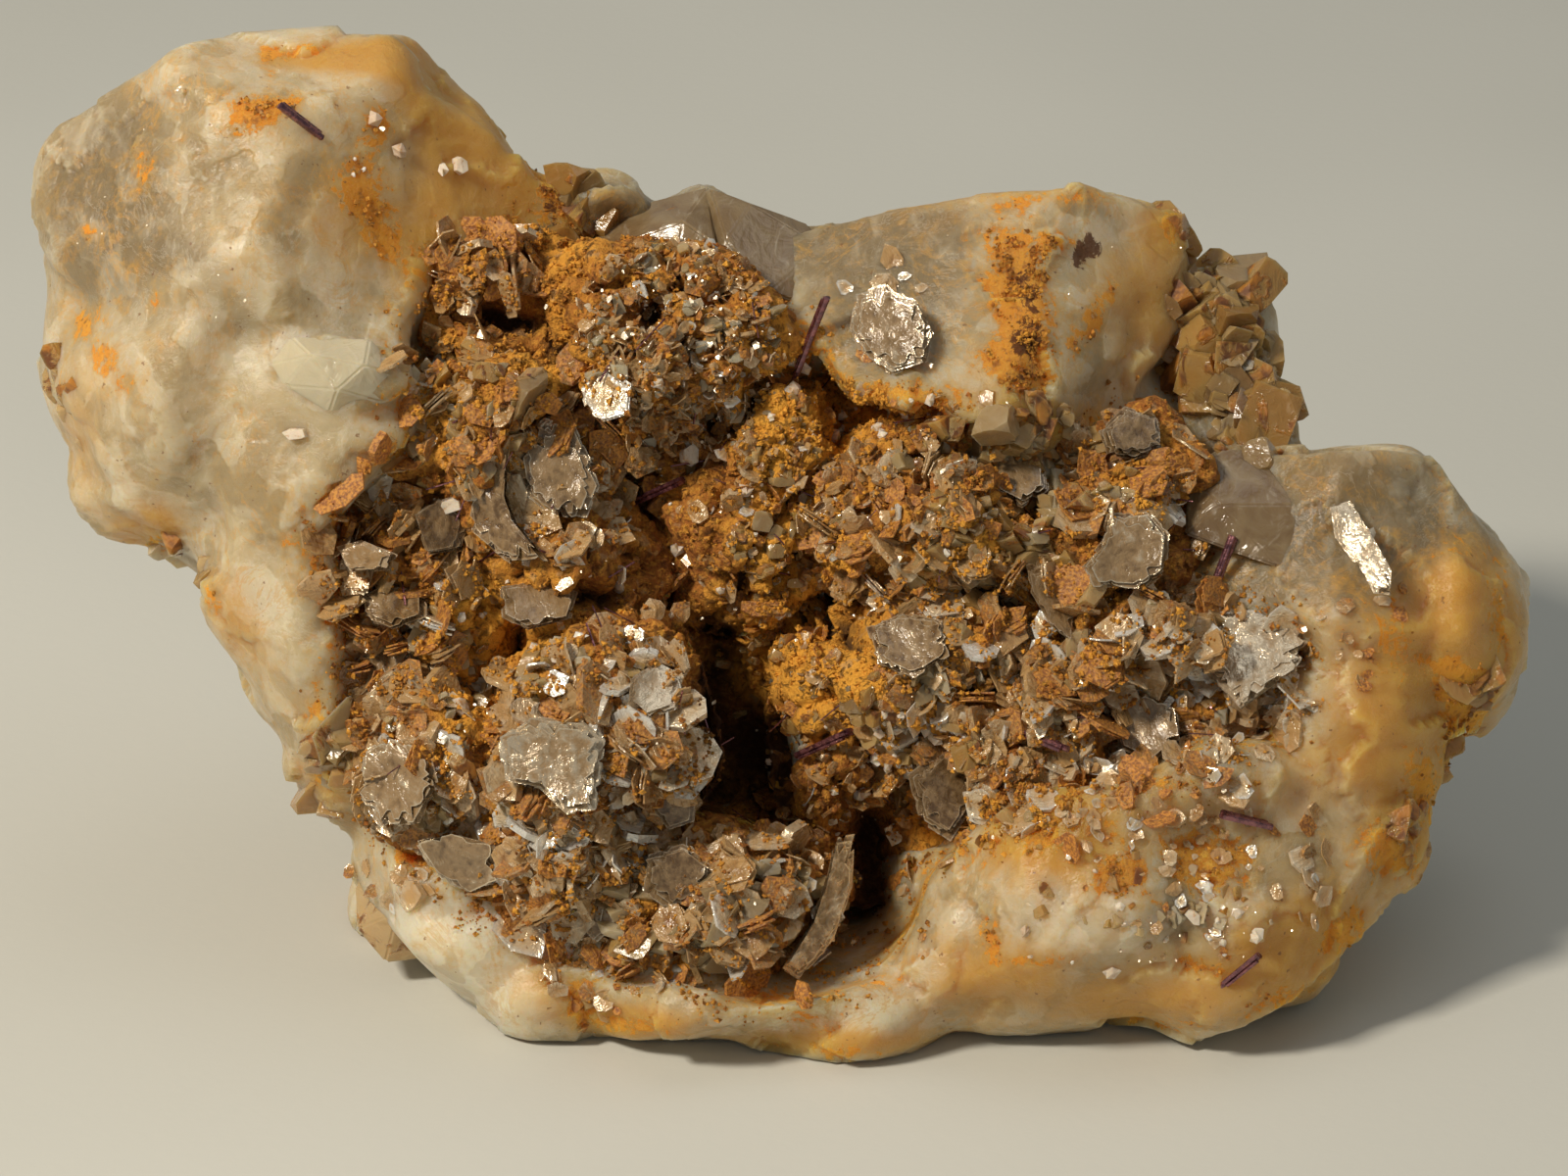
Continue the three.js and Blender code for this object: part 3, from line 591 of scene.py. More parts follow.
class Finish:
    """A material and the ways in which nodes are added to it. Its patterns are placed in mm on the piece."""

    def __init__(self, name):
        self.material = bpy.data.materials.new(name)
        self.material.use_nodes = True
        self.tree = self.material.node_tree
        self.tree.nodes.clear()
        coordinates = self.add("ShaderNodeTexCoord", {}, {}, "Object")
        inputs = {"Vector": coordinates, "Scale": [1 / MM] * 3}
        self.place = self.add("ShaderNodeMapping", {}, inputs, "Vector")

    def add(self, kind, settings, inputs, output=0):
        """Adds a node, makes its settings, gives its sockets their values or links, and returns an output."""
        node = self.tree.nodes.new(kind)
        for name, setting in settings.items():
            setattr(node, name, setting)
        for name, value in inputs.items():
            if isinstance(value, Value):
                self.tree.links.new(value.socket, node.inputs[name])
            else:
                node.inputs[name].default_value = value
        return Value(self, node.outputs[output])

    def noise(self, size, detail=3, roughness=0.55, warp=0.0, place=None):
        """Noise from 0 to 1 with that size in mm."""
        inputs = {
            "Vector": place or self.place, "Scale": 1 / size, "Detail": detail, "Roughness": roughness,
            "Distortion": warp,
        }
        return self.add("ShaderNodeTexNoise", {}, inputs, "Fac")

    def facets(self, size, steepness):
        """Heights in mm of flat cells of about that size, each tilted its own way: the dot product of the
        cell's random colour, less a half, with the way from the cell's middle."""
        cells = self.add("ShaderNodeTexVoronoi", {}, {"Vector": self.place, "Scale": 1 / size})
        outputs = cells.socket.node.outputs
        minus = {"operation": "SUBTRACT"}
        tilt = self.add("ShaderNodeVectorMath", minus, {0: Value(self, outputs["Color"]), 1: (0.5, 0.5, 0.5)})
        away = self.add("ShaderNodeVectorMath", minus, {0: self.place, 1: Value(self, outputs["Position"])})
        dot = self.add("ShaderNodeVectorMath", {"operation": "DOT_PRODUCT"}, {0: tilt, 1: away}, "Value")
        return dot * steepness

    def stretched(self, turn, scale):
        """The piece's coordinates, turned by angles in degrees and then stretched."""
        angles = [math.radians(angle) for angle in turn]
        inputs = {"Vector": self.place, "Rotation": angles, "Scale": scale}
        return self.add("ShaderNodeMapping", {}, inputs)

    def blocks(self, size, warp):
        """A random number from 0 to 1 for each cell of about that size, its edges bent by noise."""
        inputs = {"Vector": self.place, "Scale": 0.8 / size, "Detail": 4}
        bend = self.add("ShaderNodeTexNoise", {}, inputs, "Color")
        shifted = self.add(
            "ShaderNodeVectorMath", {"operation": "MULTIPLY_ADD"},
            {0: bend, 1: (warp * size,) * 3, 2: self.place}, "Vector",
        )
        inputs = {"Vector": shifted, "Scale": 1 / size, "Smoothness": 0.25}
        cell = self.add("ShaderNodeTexVoronoi", {"feature": "SMOOTH_F1"}, inputs, "Color")
        return self.add("ShaderNodeSeparateColor", {}, {"Color": cell}, "Red")

    def field(self, name):
        """A number that the mesh carries for each point."""
        return self.add("ShaderNodeAttribute", {"attribute_name": name}, {}, "Fac")

    def mix(self, share, first, second):
        """A colour between two, by a share from 0 to 1."""
        inputs = {"Factor": share, 6: self.colour(first), 7: self.colour(second)}
        return self.add("ShaderNodeMix", {"data_type": "RGBA"}, inputs, 2)

    @staticmethod
    def colour(value):
        return value if isinstance(value, Value) else (*value, 1.0)

    def relief(self, height):
        """A surface direction from heights in mm."""
        return self.add("ShaderNodeBump", {}, {"Height": height, "Distance": MM}, "Normal")

    def shader(self, base, roughness, normal, **constants):
        inputs = {"Base Color": self.colour(base), "Roughness": roughness, "Normal": normal}
        inputs.update({name.replace("_", " "): value for name, value in constants.items()})
        return self.add("ShaderNodeBsdfPrincipled", {}, inputs, "BSDF")

    def done(self, shader):
        output = self.tree.nodes.new("ShaderNodeOutputMaterial")
        self.tree.links.new(shader.socket, output.inputs["Surface"])
        return self.material


def feldspar_finish():
    """Milky to glassy feldspar: cloudy inside, waxy outside, tinted amber and grey, stained by iron oxide.
    One grey spot is painted shade and one white spot is partly painted light.
    """
    f = Finish("feldspar")
    cloud = f.noise(4.0, 4, 0.6, 0.8)
    wisp = f.noise(1.3, 5, 0.65, 1.2)
    speck = f.noise(0.35, 4, 0.6)
    base = f.mix(cloud.rise(0.36, 0.62), (0.44, 0.33, 0.17), (0.68, 0.56, 0.355))
    # Grey tint; at the right tip the grey field is painted shade.
    base = f.mix((f.field("grey") * 1.1 + (cloud - 0.5) * 0.9).rise(0.1, 0.9), base, (0.27, 0.2, 0.105))
    # Milky white tint; on the lower right swelling it is partly painted light.
    base = f.mix((f.field("white") + (wisp - 0.5) * 0.9).rise(0.2, 0.9), base, (0.9, 0.8, 0.59))
    block = f.blocks(1.5, 1.6)
    plain = f.field("grey").rise(0.0, 1.0, 1.0, 0.15)
    base = f.mix(block.rise(0.45, 0.85, 0.0, 0.4) * plain, base, (0.86, 0.78, 0.6))
    base = f.mix(block.rise(0.15, 0.45, 0.35, 0.0) * plain, base, (0.4, 0.31, 0.17))
    veil = f.noise(1.6, 3, 0.6, 0.5, f.stretched((30, 10, 50), (1.0, 0.5, 1.0)))
    base = f.mix(veil.rise(0.5, 0.7, 0.0, 0.32), base, (0.86, 0.78, 0.6))
    crack = (f.noise(3.2, 7, 0.68, 1.6) - 0.5).math("ABSOLUTE").rise(0.0, 0.012, 0.25, 0.0)
    base = f.mix(crack * f.noise(4.0, 2).rise(0.4, 0.55), base, (0.95, 0.9, 0.78))
    amber = (f.field("amber") * 1.3 + (cloud - 0.5) * 1.1).rise(0.05, 0.9, 0.0, 0.92)
    base = f.mix(amber, base, (0.7, 0.36, 0.057))
    streaky = f.noise(2.0, 8, 0.74, 1.6, f.stretched((0, 25, 20), (1.0, 1.0, 0.55)))
    stain = f.field("orange") * 1.05 + (streaky - 0.5) * 2.1 + (speck - 0.5) * 1.3
    rust = stain.rise(0.5, 0.68)
    vein = (f.noise(2.6, 5, 0.65, 1.4) - 0.5).math("ABSOLUTE").rise(0.0, 0.035, 0.5, 0.0)
    vein = vein * f.noise(5.0, 2).rise(0.45, 0.6)
    base = f.mix(vein, base, (0.72, 0.4, 0.1))
    base = f.mix(stain.rise(-0.05, 0.7, 0.0, 0.6), base, (0.72, 0.4, 0.08))
    ochre = f.mix(speck.rise(0.3, 0.5), (0.36, 0.12, 0.012), (0.7, 0.29, 0.025))
    ochre = f.mix(streaky.rise(0.62, 0.75), ochre, (0.76, 0.4, 0.05))
    base = f.mix(rust * 0.9, base, ochre)
    dark = (f.field("dark") + (f.noise(0.9, 7, 0.75, 1.2) - 0.5) * 2.0).rise(0.62, 0.74)
    base = f.mix(dark * 0.92, base, (0.1, 0.028, 0.006))
    grit = f.noise(0.3, 2, 0.5).rise(0.7, 0.76)
    base = f.mix(grit * 0.7, base, (0.24, 0.1, 0.03))
    dirty = (rust + dark).rise(0.0, 1.0)
    roughness = dirty.rise(0.0, 1.0, 0.34, 0.85) + (wisp - 0.5) * 0.3
    grain = f.noise(0.16, 3, 0.6)
    chips = f.noise(0.6, 5, 0.7, 0.4)
    height = f.facets(2.2, 0.05) + block * plain * 0.08 + chips * 0.1 + wisp * 0.06
    height = height + crack * 0.04 + dirty * grain * 0.16
    normal = f.relief(height)
    milky = f.shader(
        base, roughness, normal, Subsurface_Weight=1.0, Subsurface_Radius=(1.0, 0.8, 0.5),
        Subsurface_Scale=2.4 * MM, IOR=1.53, Specular_IOR_Level=0.35,
    )
    cracks = f.noise(1.2, 5, 0.7, 2.0, f.stretched((0, 20, 35), (1.0, 0.25, 1.0)))
    tint = f.mix(cracks.rise(0.4, 0.62), (0.5, 0.42, 0.3), (0.93, 0.88, 0.78))
    glassy = f.shader(tint, roughness * 0.6, normal, Transmission_Weight=1.0, IOR=1.52)
    share = f.field("clear").rise(0.2, 0.8, 0.2, 0.7) * (1 - dirty)
    mixed = f.add("ShaderNodeMixShader", {}, {"Fac": share, 1: milky, 2: glassy}, 0)
    return f.done(mixed)


def crust_finish():
    """Earthy iron oxide: ochre crumbs over rust brown, with painted shade that makes it nearly black in its
    holes and hollows, and darker in small pits.
    """
    f = Finish("iron_oxide")
    clump = f.noise(1.6, 4, 0.65, 0.6)
    crumb = f.noise(0.3, 5, 0.7)
    tone = f.field("tone")
    base = f.mix((tone + (clump - 0.5) * 0.9).rise(0.15, 0.85), (0.42, 0.14, 0.022), (0.95, 0.44, 0.05))
    base = f.mix(crumb.rise(0.45, 0.66, 0.0, 0.7), base, (0.95, 0.47, 0.06))
    base = f.mix(f.noise(0.8, 3).rise(0.6, 0.7, 0.0, 0.5), base, (0.6, 0.4, 0.2))
    # Painted shade: the depth field darkens the crust to nearly black in its holes and creases.
    base = f.mix(f.field("depth").rise(0.1, 1.0, 0.0, 0.9), base, (0.03, 0.008, 0.002))
    # Painted shade as well: small noise pits, which the relief below also sinks, are darkened.
    pits = f.noise(0.45, 6, 0.72, 0.6).rise(0.36, 0.46, 0.55, 0.0)
    base = f.mix(pits, base, (0.12, 0.034, 0.006))
    height = crumb * 0.36 + f.noise(0.14, 4) * 0.15 - pits * 0.3
    roughness = crumb.rise(0.3, 0.7, 0.95, 0.75)
    return f.done(f.shader(base, roughness, f.relief(height), IOR=1.45))


def mica_finish(name, clear):
    """Smoky to silvery mica: flat glossy cleavage with a pearly sheen, dusted with iron oxide."""
    f = Finish(name)
    tone = f.field("tone")
    flaw = f.noise(0.7, 4, 0.6, 1.0)
    patch = f.noise(1.6, 4, 0.65, 1.0)
    lines = f.noise(0.25, 3, 0.5, 0.0, f.stretched((10, 25, 40), (1.0, 0.12, 1.0)))
    shade = tone + (flaw - 0.5) * 0.5 + (patch - 0.5) * 0.6 + (lines - 0.5) * 0.6
    base = f.mix(shade.rise(0.05, 0.55), (0.3, 0.125, 0.03), (0.68, 0.43, 0.18))
    silver = shade.rise(0.6, 1.1)
    base = f.mix(silver, base, (0.9, 0.75, 0.52))
    # Painted highlight: tones of about 1 and over turn near white, on the glints, the painted glint flakes
    # and the palest rims.
    base = f.mix(tone.rise(0.95, 1.1), base, (0.95, 0.93, 0.86))
    dust = (f.noise(0.6, 6, 0.75, 0.8) + (f.field("dust") - 0.5) * 0.55).rise(0.47, 0.62, 0.0, 0.92)
    grit = f.noise(0.12, 3)
    base = f.mix(dust, base, f.mix(grit.rise(0.35, 0.65), (0.36, 0.11, 0.014), (0.92, 0.42, 0.045)))
    roughness = flaw.rise(0.3, 0.7, 0.08, 0.3) + dust * 0.5
    height = flaw * 0.13 + patch * 0.2 + lines * 0.02 + dust * grit * 0.07
    return f.done(f.shader(
        base, roughness, f.relief(height), Metallic=silver * (1 - dust) * 0.3,
        Transmission_Weight=clear, IOR=1.58, Specular_IOR_Level=0.7,
    ))


def book_finish():
    """The large mica books: smoky olive to silver, crinkled, with fine parallel lines and rusty patches."""
    f = Finish("book_mica")
    tone = f.field("tone")
    patch = f.noise(1.4, 5, 0.7, 1.2)
    flaw = f.noise(0.5, 4, 0.65, 0.8)
    lines = f.noise(0.3, 3, 0.5, 0.0, f.stretched((10, 25, 40), (1.0, 0.1, 1.0)))
    shade = tone + (patch - 0.5) * 1.1 + (flaw - 0.5) * 0.7 + (lines - 0.5) * 1.0
    base = f.mix(shade.rise(0.1, 0.7), (0.15, 0.08, 0.03), (0.44, 0.29, 0.14))
    silver = shade.rise(0.65, 1.15)
    base = f.mix(silver, base, (0.84, 0.71, 0.52))
    rust = (f.noise(1.1, 6, 0.75, 1.0) + (f.field("dust") - 0.5) * 0.4).rise(0.58, 0.66, 0.0, 0.9)
    grit = f.noise(0.12, 3)
    base = f.mix(rust, base, f.mix(grit.rise(0.35, 0.65), (0.34, 0.12, 0.014), (0.88, 0.42, 0.045)))
    roughness = flaw.rise(0.3, 0.7, 0.1, 0.3) + rust * 0.45
    height = flaw * 0.04 + patch * 0.09 + lines * 0.05 + rust * grit * 0.08
    return f.done(f.shader(
        base, roughness, f.relief(height), Metallic=silver * (1 - rust) * 0.55,
        Transmission_Weight=0.45, IOR=1.58, Specular_IOR_Level=0.7,
    ))


def rutile_finish():
    """Dark red to purple metallic prisms, grooved along their length."""
    f = Finish("rutile")
    streak = f.noise(0.3, 4, 0.6)
    base = f.mix(streak.rise(0.35, 0.7), (0.1, 0.03, 0.045), (0.33, 0.12, 0.13))
    rust = f.noise(0.5, 5, 0.7).rise(0.6, 0.68, 0.0, 0.7)
    base = f.mix(rust, base, (0.4, 0.16, 0.03))
    roughness = streak.rise(0.3, 0.7, 0.16, 0.34) + rust * 0.4
    return f.done(f.shader(base, roughness, f.relief(streak * 0.03), Metallic=0.75, IOR=2.6))


def grain_finish():
    """Small glassy feldspar crystals, pinkish grey to cream, with a little iron oxide in patches."""
    f = Finish("small_feldspar")
    tone = f.field("tone")
    base = f.mix(tone, (0.56, 0.42, 0.3), (0.85, 0.77, 0.64))
    rust = f.noise(0.5, 5, 0.7).rise(0.54, 0.66, 0.0, 0.75)
    base = f.mix(rust, base, (0.5, 0.24, 0.05))
    roughness = f.noise(0.5).rise(0.3, 0.7, 0.18, 0.4) + rust * 0.35
    return f.done(f.shader(
        base, roughness, f.relief(f.noise(0.3, 4) * 0.06), Subsurface_Weight=0.5,
        Subsurface_Radius=(1.0, 0.7, 0.4), Subsurface_Scale=0.5 * MM, IOR=1.53,
    ))


def glassy_finish():
    """Smoky to clear feldspar: glassy faces over cloudy veils of tiny cracks, rust in some."""
    f = Finish("glassy_feldspar")
    cloud = f.noise(1.6, 4, 0.6, 0.8)
    veil = f.noise(0.9, 5, 0.65, 1.2, f.stretched((20, 35, 10), (1.0, 0.3, 1.0)))
    shade = f.field("tone") + (cloud - 0.5) * 0.6
    base = f.mix(shade.rise(0.0, 0.5), (0.15, 0.075, 0.027), (0.36, 0.27, 0.15))
    base = f.mix(shade.rise(0.45, 1.0), base, (0.76, 0.68, 0.48))
    base = f.mix(veil.rise(0.54, 0.74, 0.0, 0.3), base, (0.92, 0.86, 0.7))
    base = f.mix(f.field("rust").rise(0.1, 0.8, 0.0, 0.75), base, (0.6, 0.34, 0.09))
    rust = (f.noise(1.7, 4, 0.6, 1.0) + (f.field("rust") - 0.5) * 0.4).rise(0.58, 0.66, 0.0, 0.92)
    grit = f.noise(0.7, 4)
    base = f.mix(rust, base, f.mix(grit.rise(0.4, 0.6), (0.17, 0.05, 0.01), (0.56, 0.22, 0.025)))
    roughness = veil.rise(0.3, 0.7, 0.07, 0.24) + rust * 0.5
    normal = f.relief(veil * 0.05 + cloud * 0.12 + rust * grit * 0.12)
    return f.done(f.shader(
        base, roughness, normal, Transmission_Weight=0.35, IOR=1.52, Subsurface_Weight=0.5,
        Subsurface_Radius=(1.0, 0.8, 0.5), Subsurface_Scale=1.2 * MM,
    ))


FELDSPAR = feldspar_finish()
GLASSY_FELDSPAR = glassy_finish()
IRON_OXIDE = crust_finish()
MICA = mica_finish("mica", 0.0)
BOOK_MICA = book_finish()
SMOKY_MICA = mica_finish("smoky_mica", 0.45)
RUTILE = rutile_finish()
SMALL_FELDSPAR = grain_finish()


# Camera, light and floor.

CAMERA_DISTANCE = 230 * MM
FRAME_WIDTH = 64 * MM
SENSOR = 36
AIM_DROP = 1.6  # in mm, down the face
KEY_DIRECTION = (-0.58, -0.42, 0.76)
MIDDLE_HEIGHT = 0.018  # of the specimen, which the lamps face, in metres


def look_from_the_photograph():
    """The camera looks straight at the face, aimed a little below its middle."""
    aim = Vector((FACE_ORIGIN - AIM_DROP * UP_FACE) * MM)
    camera = bpy.data.cameras.new("camera")
    camera.sensor_width = SENSOR
    camera.lens = SENSOR * CAMERA_DISTANCE / FRAME_WIDTH
    camera.clip_start = 0.01
    thing = bpy.data.objects.new("camera", camera)
    thing.location = aim + Vector(OUTWARD) * CAMERA_DISTANCE
    thing.rotation_euler = Vector(-OUTWARD).to_track_quat("-Z", "Y").to_euler()
    bpy.context.scene.collection.objects.link(thing)
    bpy.context.scene.camera = thing


def lamp(name, direction, distance, size, power, colour):
    """A square soft light that faces the specimen's middle."""
    light = bpy.data.lights.new(name, "AREA")
    light.size = size
    light.energy = power
    light.color = colour
    thing = bpy.data.objects.new(name, light)
    way = Vector(direction).normalized()
    thing.location = Vector((0, 0, MIDDLE_HEIGHT)) + way * distance
    thing.rotation_euler = (-way).to_track_quat("-Z", "Y").to_euler()
    bpy.context.scene.collection.objects.link(thing)


def floor():
    """A wide pale floor under the base."""
    f = Finish("floor")
    base = f.mix(f.noise(60, 2).rise(0.2, 0.8), (0.51, 0.51, 0.46), (0.57, 0.57, 0.52))
    material = f.done(f.shader(base, 0.7, f.relief(f.noise(0.6, 2) * 0.01)))
    shape = bmesh.new()
    bmesh.ops.create_grid(shape, x_segments=1, y_segments=1, size=2)
    mesh = bpy.data.meshes.new("floor")
    shape.to_mesh(mesh)
    shape.free()
    mesh.materials.append(material)
    thing = bpy.data.objects.new("floor", mesh)
    bpy.context.scene.collection.objects.link(thing)


look_from_the_photograph()
lamp("key", KEY_DIRECTION, distance=0.34, size=0.05, power=1.16, colour=(1.0, 0.9, 0.76))
lamp("top", (0.3, 0.2, 1.0), distance=0.6, size=0.4, power=0.45, colour=(0.97, 0.98, 1.0))
floor()
world = bpy.data.worlds.new("world")
world.use_nodes = True
world.node_tree.nodes["Background"].inputs["Color"].default_value = (0.8, 0.82, 0.8, 1)
world.node_tree.nodes["Background"].inputs["Strength"].default_value = 0.3
bpy.context.scene.world = world
bpy.context.scene.view_settings.view_transform = "Standard"


# The feldspar.

MASS_VOXEL = 0.33
CRUST_VOXEL = 0.23


def facet_heights(points, size, steepness, seed):
    """Flat cells, each about the nearest of one random point in every box of a lattice, and tilted its own
    way: the dot product of a random tilt with the way from that point, in mm."""
    bent = np.stack([noise(points, size * 0.7, seed + k) for k in range(3)], axis=1)
    scaled = (points + 0.15 * size * bent) / size
    cell = np.floor(scaled).astype(int)
    nearest = np.full(len(points), np.inf)
    height = np.zeros(len(points))
    for step in np.ndindex(3, 3, 3):
        x, y, z = (cell + step - 1 + seed).T & 255
        number = SHUFFLE[(SHUFFLE[(SHUFFLE[x] + y) & 255] + z) & 255]
        middle = cell + step - 1 + 0.5 + 0.5 * SLOPES[SHUFFLE[number]]
        away = scaled - middle
        distance = np.sum(away ** 2, axis=1)
        closer = distance < nearest
        nearest = np.where(closer, distance, nearest)
        height = np.where(closer, np.sum(SLOPES[number] * away, axis=1), height)
    return steepness * size * np.clip(height, -0.5, 0.5)


# Smooth bumps that stand out under the crust's edge, and how far, in mm.
BUMP_SPOTS = [
    (1245, 790, 75, 34, -8, 1.0), (1120, 822, 50, 22, -10, 0.6), (1335, 730, 30, 40, 20, 0.6),
]
BUMP_HEIGHT = 1.3

# Where the surface lies in thin uneven sheets.
SHEETED_SPOTS = [
    (1180, 860, 180, 80, 0, 1.0), (1420, 780, 70, 130, 10, 1.0), (1500, 640, 50, 80, 0, 0.8),
    (640, 1040, 90, 20, 0, 0.7), (120, 520, 70, 80, 20, 0.8), (1160, 320, 60, 100, -20, 0.7),
    (540, 1000, 60, 50, 30, 0.6),
]

# Where the surface is smooth and whole.
CALM_SPOTS = [
    (910, 250, 110, 60, 0, 1.0), (450, 960, 80, 60, 40, 0.9), (870, 1030, 90, 40, 0, 0.6),
    (230, 280, 210, 230, 0, 0.95), (1120, 960, 80, 40, 0, 0.6), (260, 560, 60, 60, 0, 0.5),
    (1280, 540, 60, 50, 0, 0.6),
]

# Where crystal faces keep their edges.
CRISP_SPOTS = [
    (1010, 300, 230, 120, -5, 1.2), (700, 230, 120, 60, 0, 1.0), (1290, 420, 90, 150, 0, 0.8),
    (352, 382, 70, 40, 0, 0.8),
]


def feldspar_relief(skin):
    """Swells, tilted facets, cleavage ledges and small pits: heights in mm to push the points out by."""
    points = skin.points
    face = on_face(points)
    broken = rise(fractal(points, 11, 2, 21) + 0.9 * rise(-(skin.normals() @ OUTWARD), -0.2, 0.4), -0.1, 0.9)
    left = rise(-face[:, 0], 22, 27) * rise(-face[:, 1], -10, 0)
    broken = np.maximum(broken, left)
    calm = 1 - np.minimum(spots(face[:, :2], CALM_SPOTS), 0.9)
    swell = 0.2 * noise(points, 6, 1) + calm * (0.1 * noise(points, 2.7, 2) + 0.03 * noise(points, 1.2, 3))
    swell += calm * facet_heights(points, 3.8, 0.13, 71)
    swell += calm * (0.2 + 0.5 * broken) * facet_heights(points, 1.5, 0.09, 72)
    ledge_one = face @ unit(np.array([0.35, 0.9, 0.3])) + 1.1 * fractal(points, 6, 2, 5)
    ledge_two = face @ unit(np.array([-0.8, 0.3, 0.55])) + 1.3 * fractal(points, 5, 2, 9)
    ledges = 0.32 * steps(ledge_one, 2.6) + 0.26 * steps(ledge_two, 3.4) - 0.25
    rough = 0.08 * fractal(points, 1.9, 3, 11)
    sheets = np.minimum(spots(face[:, :2], SHEETED_SPOTS), 1) * fractal(face * [0.5, 2.4, 1], 2.4, 3, 15)
    swell += BUMP_HEIGHT * spots(face[:, :2], BUMP_SPOTS)
    return swell + calm * ((0.1 + 0.55 * broken) * ledges + broken * rough) + 0.16 * sheets


# Deep holes of the crust, as spots, which also set the painted shade in them, and how much ochre its parts
# have.
HOLE_SPOTS = [
    (768, 770, 40, 50, 20, 1.0), (722, 705, 24, 60, -10, 0.7), (725, 815, 26, 18, 0, 0.7),
    (656, 822, 15, 11, 0, 0.7), (884, 855, 24, 38, 20, 0.8), (890, 932, 20, 48, 0, 0.9),
    (868, 603, 28, 14, 0, 0.6), (868, 645, 20, 24, 0, 0.5), (757, 600, 9, 15, 0, 0.4),
    (735, 640, 26, 13, 0, 0.5), (664, 322, 17, 18, 0, 0.5), (768, 395, 12, 40, 0, 0.2),
    (728, 432, 18, 20, 0, 0.4), (534, 650, 11, 18, 0, 0.4), (411, 655, 9, 20, 0, 0.4),
    (505, 325, 50, 16, -10, 0.7), (1085, 640, 14, 20, 0, 0.4), (1010, 690, 20, 14, 0, 0.4),
    (590, 610, 30, 9, 0, 0.4), (470, 860, 30, 9, 0, 0.3),
]
OCHRE_SPOTS = [
    (810, 450, 46, 110, 0, 1.3), (820, 650, 70, 90, 0, 0.8), (590, 250, 60, 40, 0, 0.5),
    (490, 650, 90, 50, 0, 0.8), (470, 740, 40, 40, 0, 0.8), (870, 420, 60, 40, 0, 0.7),
    (1000, 560, 80, 60, 0, 0.6), (1160, 510, 40, 30, 0, 0.7), (1100, 660, 60, 40, 0, 0.5),
    (1000, 850, 80, 80, 0, 0.6), (650, 900, 60, 40, 0, 0.6), (560, 380, 40, 60, 0, 0.5),
    (880, 700, 80, 60, 0, 0.7), (520, 620, 60, 30, 0, 0.6), (440, 380, 40, 60, 0, 0.5),
]
DEEPEST = 4.5  # how far the deepest holes go in, in mm


def gullies(points):
    """How deep the crust is cut between its clumps: 1 along the lines where noise crosses zero."""
    wide = np.exp(-(noise(points, 3.3, 35) / 0.13) ** 2) * rise(noise(points, 6, 36), -0.5, 0.2)
    narrow = np.exp(-(noise(points, 1.6, 37) / 0.16) ** 2)
    return 1.1 * wide + 0.45 * narrow


def make_feldspar():
    """The mass and the crust under it as one skin, so that no gap shows between them. Under the crust it
    stays well below the crust's own skin."""
    mass = cad_shape(["adularia_mass"])
    bed = cad_shape(["mica_and_iron_crust"], 0.2)
    skin = remeshed([mass, bed], MASS_VOXEL)
    fill_sockets(skin)
    crisp = np.minimum(spots(on_face(skin.points)[:, :2], CRISP_SPOTS), 1)
    skin.smooth(8, 0.5 * (1 - crisp))
    skin.soften(2)
    floor_level = skin.points[:, 2] < 0.2
    heights = feldspar_relief(skin)
    skin.points = skin.points + skin.normals() * np.where(floor_level, 0, heights)[:, None]
    face = on_face(skin.points)
    under = rise(-outline_distance(face[:, :2]), 0.3, 1.8) * rise(skin.normals() @ OUTWARD, -0.3, 0.1)
    under *= rise(face[:, 2], -10, -7)
    depth = under * (2.2 + DEEPEST * np.minimum(spots(face[:, :2], HOLE_SPOTS), 1))
    skin.points = skin.points - OUTWARD * depth[:, None]
    skin.points[:, 2] = np.maximum(skin.points[:, 2], 0)
    return skin


def make_crust():
    """The crust's own skin, crumbly and a little proud of its pocket."""
    skin = remeshed([cad_shape(["mica_and_iron_crust"])], CRUST_VOXEL)
    fill_sockets(skin)
    skin.soften(3)
    face = on_face(skin.points)
    inner = rise(-outline_distance(face[:, :2]), 0.2, 1.2) * rise(skin.normals() @ OUTWARD, -0.2, 0.2)
    crumbs = 0.3 * np.abs(noise(skin.points, 1.1, 32)) + 0.25 * np.abs(noise(skin.points, 0.55, 33))
    height = 0.3 + crumbs - inner * gullies(skin.points)
    sunk = inner * DEEPEST * np.minimum(spots(face[:, :2], HOLE_SPOTS), 1)
    skin.points = skin.points + skin.normals() * height[:, None] - OUTWARD * sunk[:, None]
    return skin


mass_skin = make_feldspar()
crust_skin = make_crust()
mass_normals = mass_skin.normals()
mass_mesh = mesh_from("feldspar", mass_skin.points, mass_skin.triangles)
give(mass_mesh, **feldspar_fields(mass_skin.points, mass_normals, mass_skin.hollowness()))
piece("feldspar", mass_mesh, FELDSPAR, "milky_feldspar", "adularia_mass", smooth=True)


def crust_fields(points):
    """How ochre the crust is, and how deep in its holes, which sets the painted shade there, at points of its
    surface.
    """
    face = on_face(points)
    tone = 0.3 + 0.6 * spots(face[:, :2], OCHRE_SPOTS) + 0.25 * fractal(points, 3, 2, 51)
    return {"tone": tone, "depth": 1.1 * spots(face[:, :2], HOLE_SPOTS)}


crust_mesh = mesh_from("iron_oxide_crust", crust_skin.points, crust_skin.triangles)
fields = crust_fields(crust_skin.points)
# Painted shade in the crust's creases: the depth field grows with how far they lie below the smoothed
# surface.
fields["depth"] += 3.2 * np.maximum(crust_skin.hollowness(10) - 0.02, 0)
give(crust_mesh, **fields)
piece("iron_oxide_crust", crust_mesh, IRON_OXIDE, "iron_oxide_crust", "mica_and_iron_crust", smooth=True)


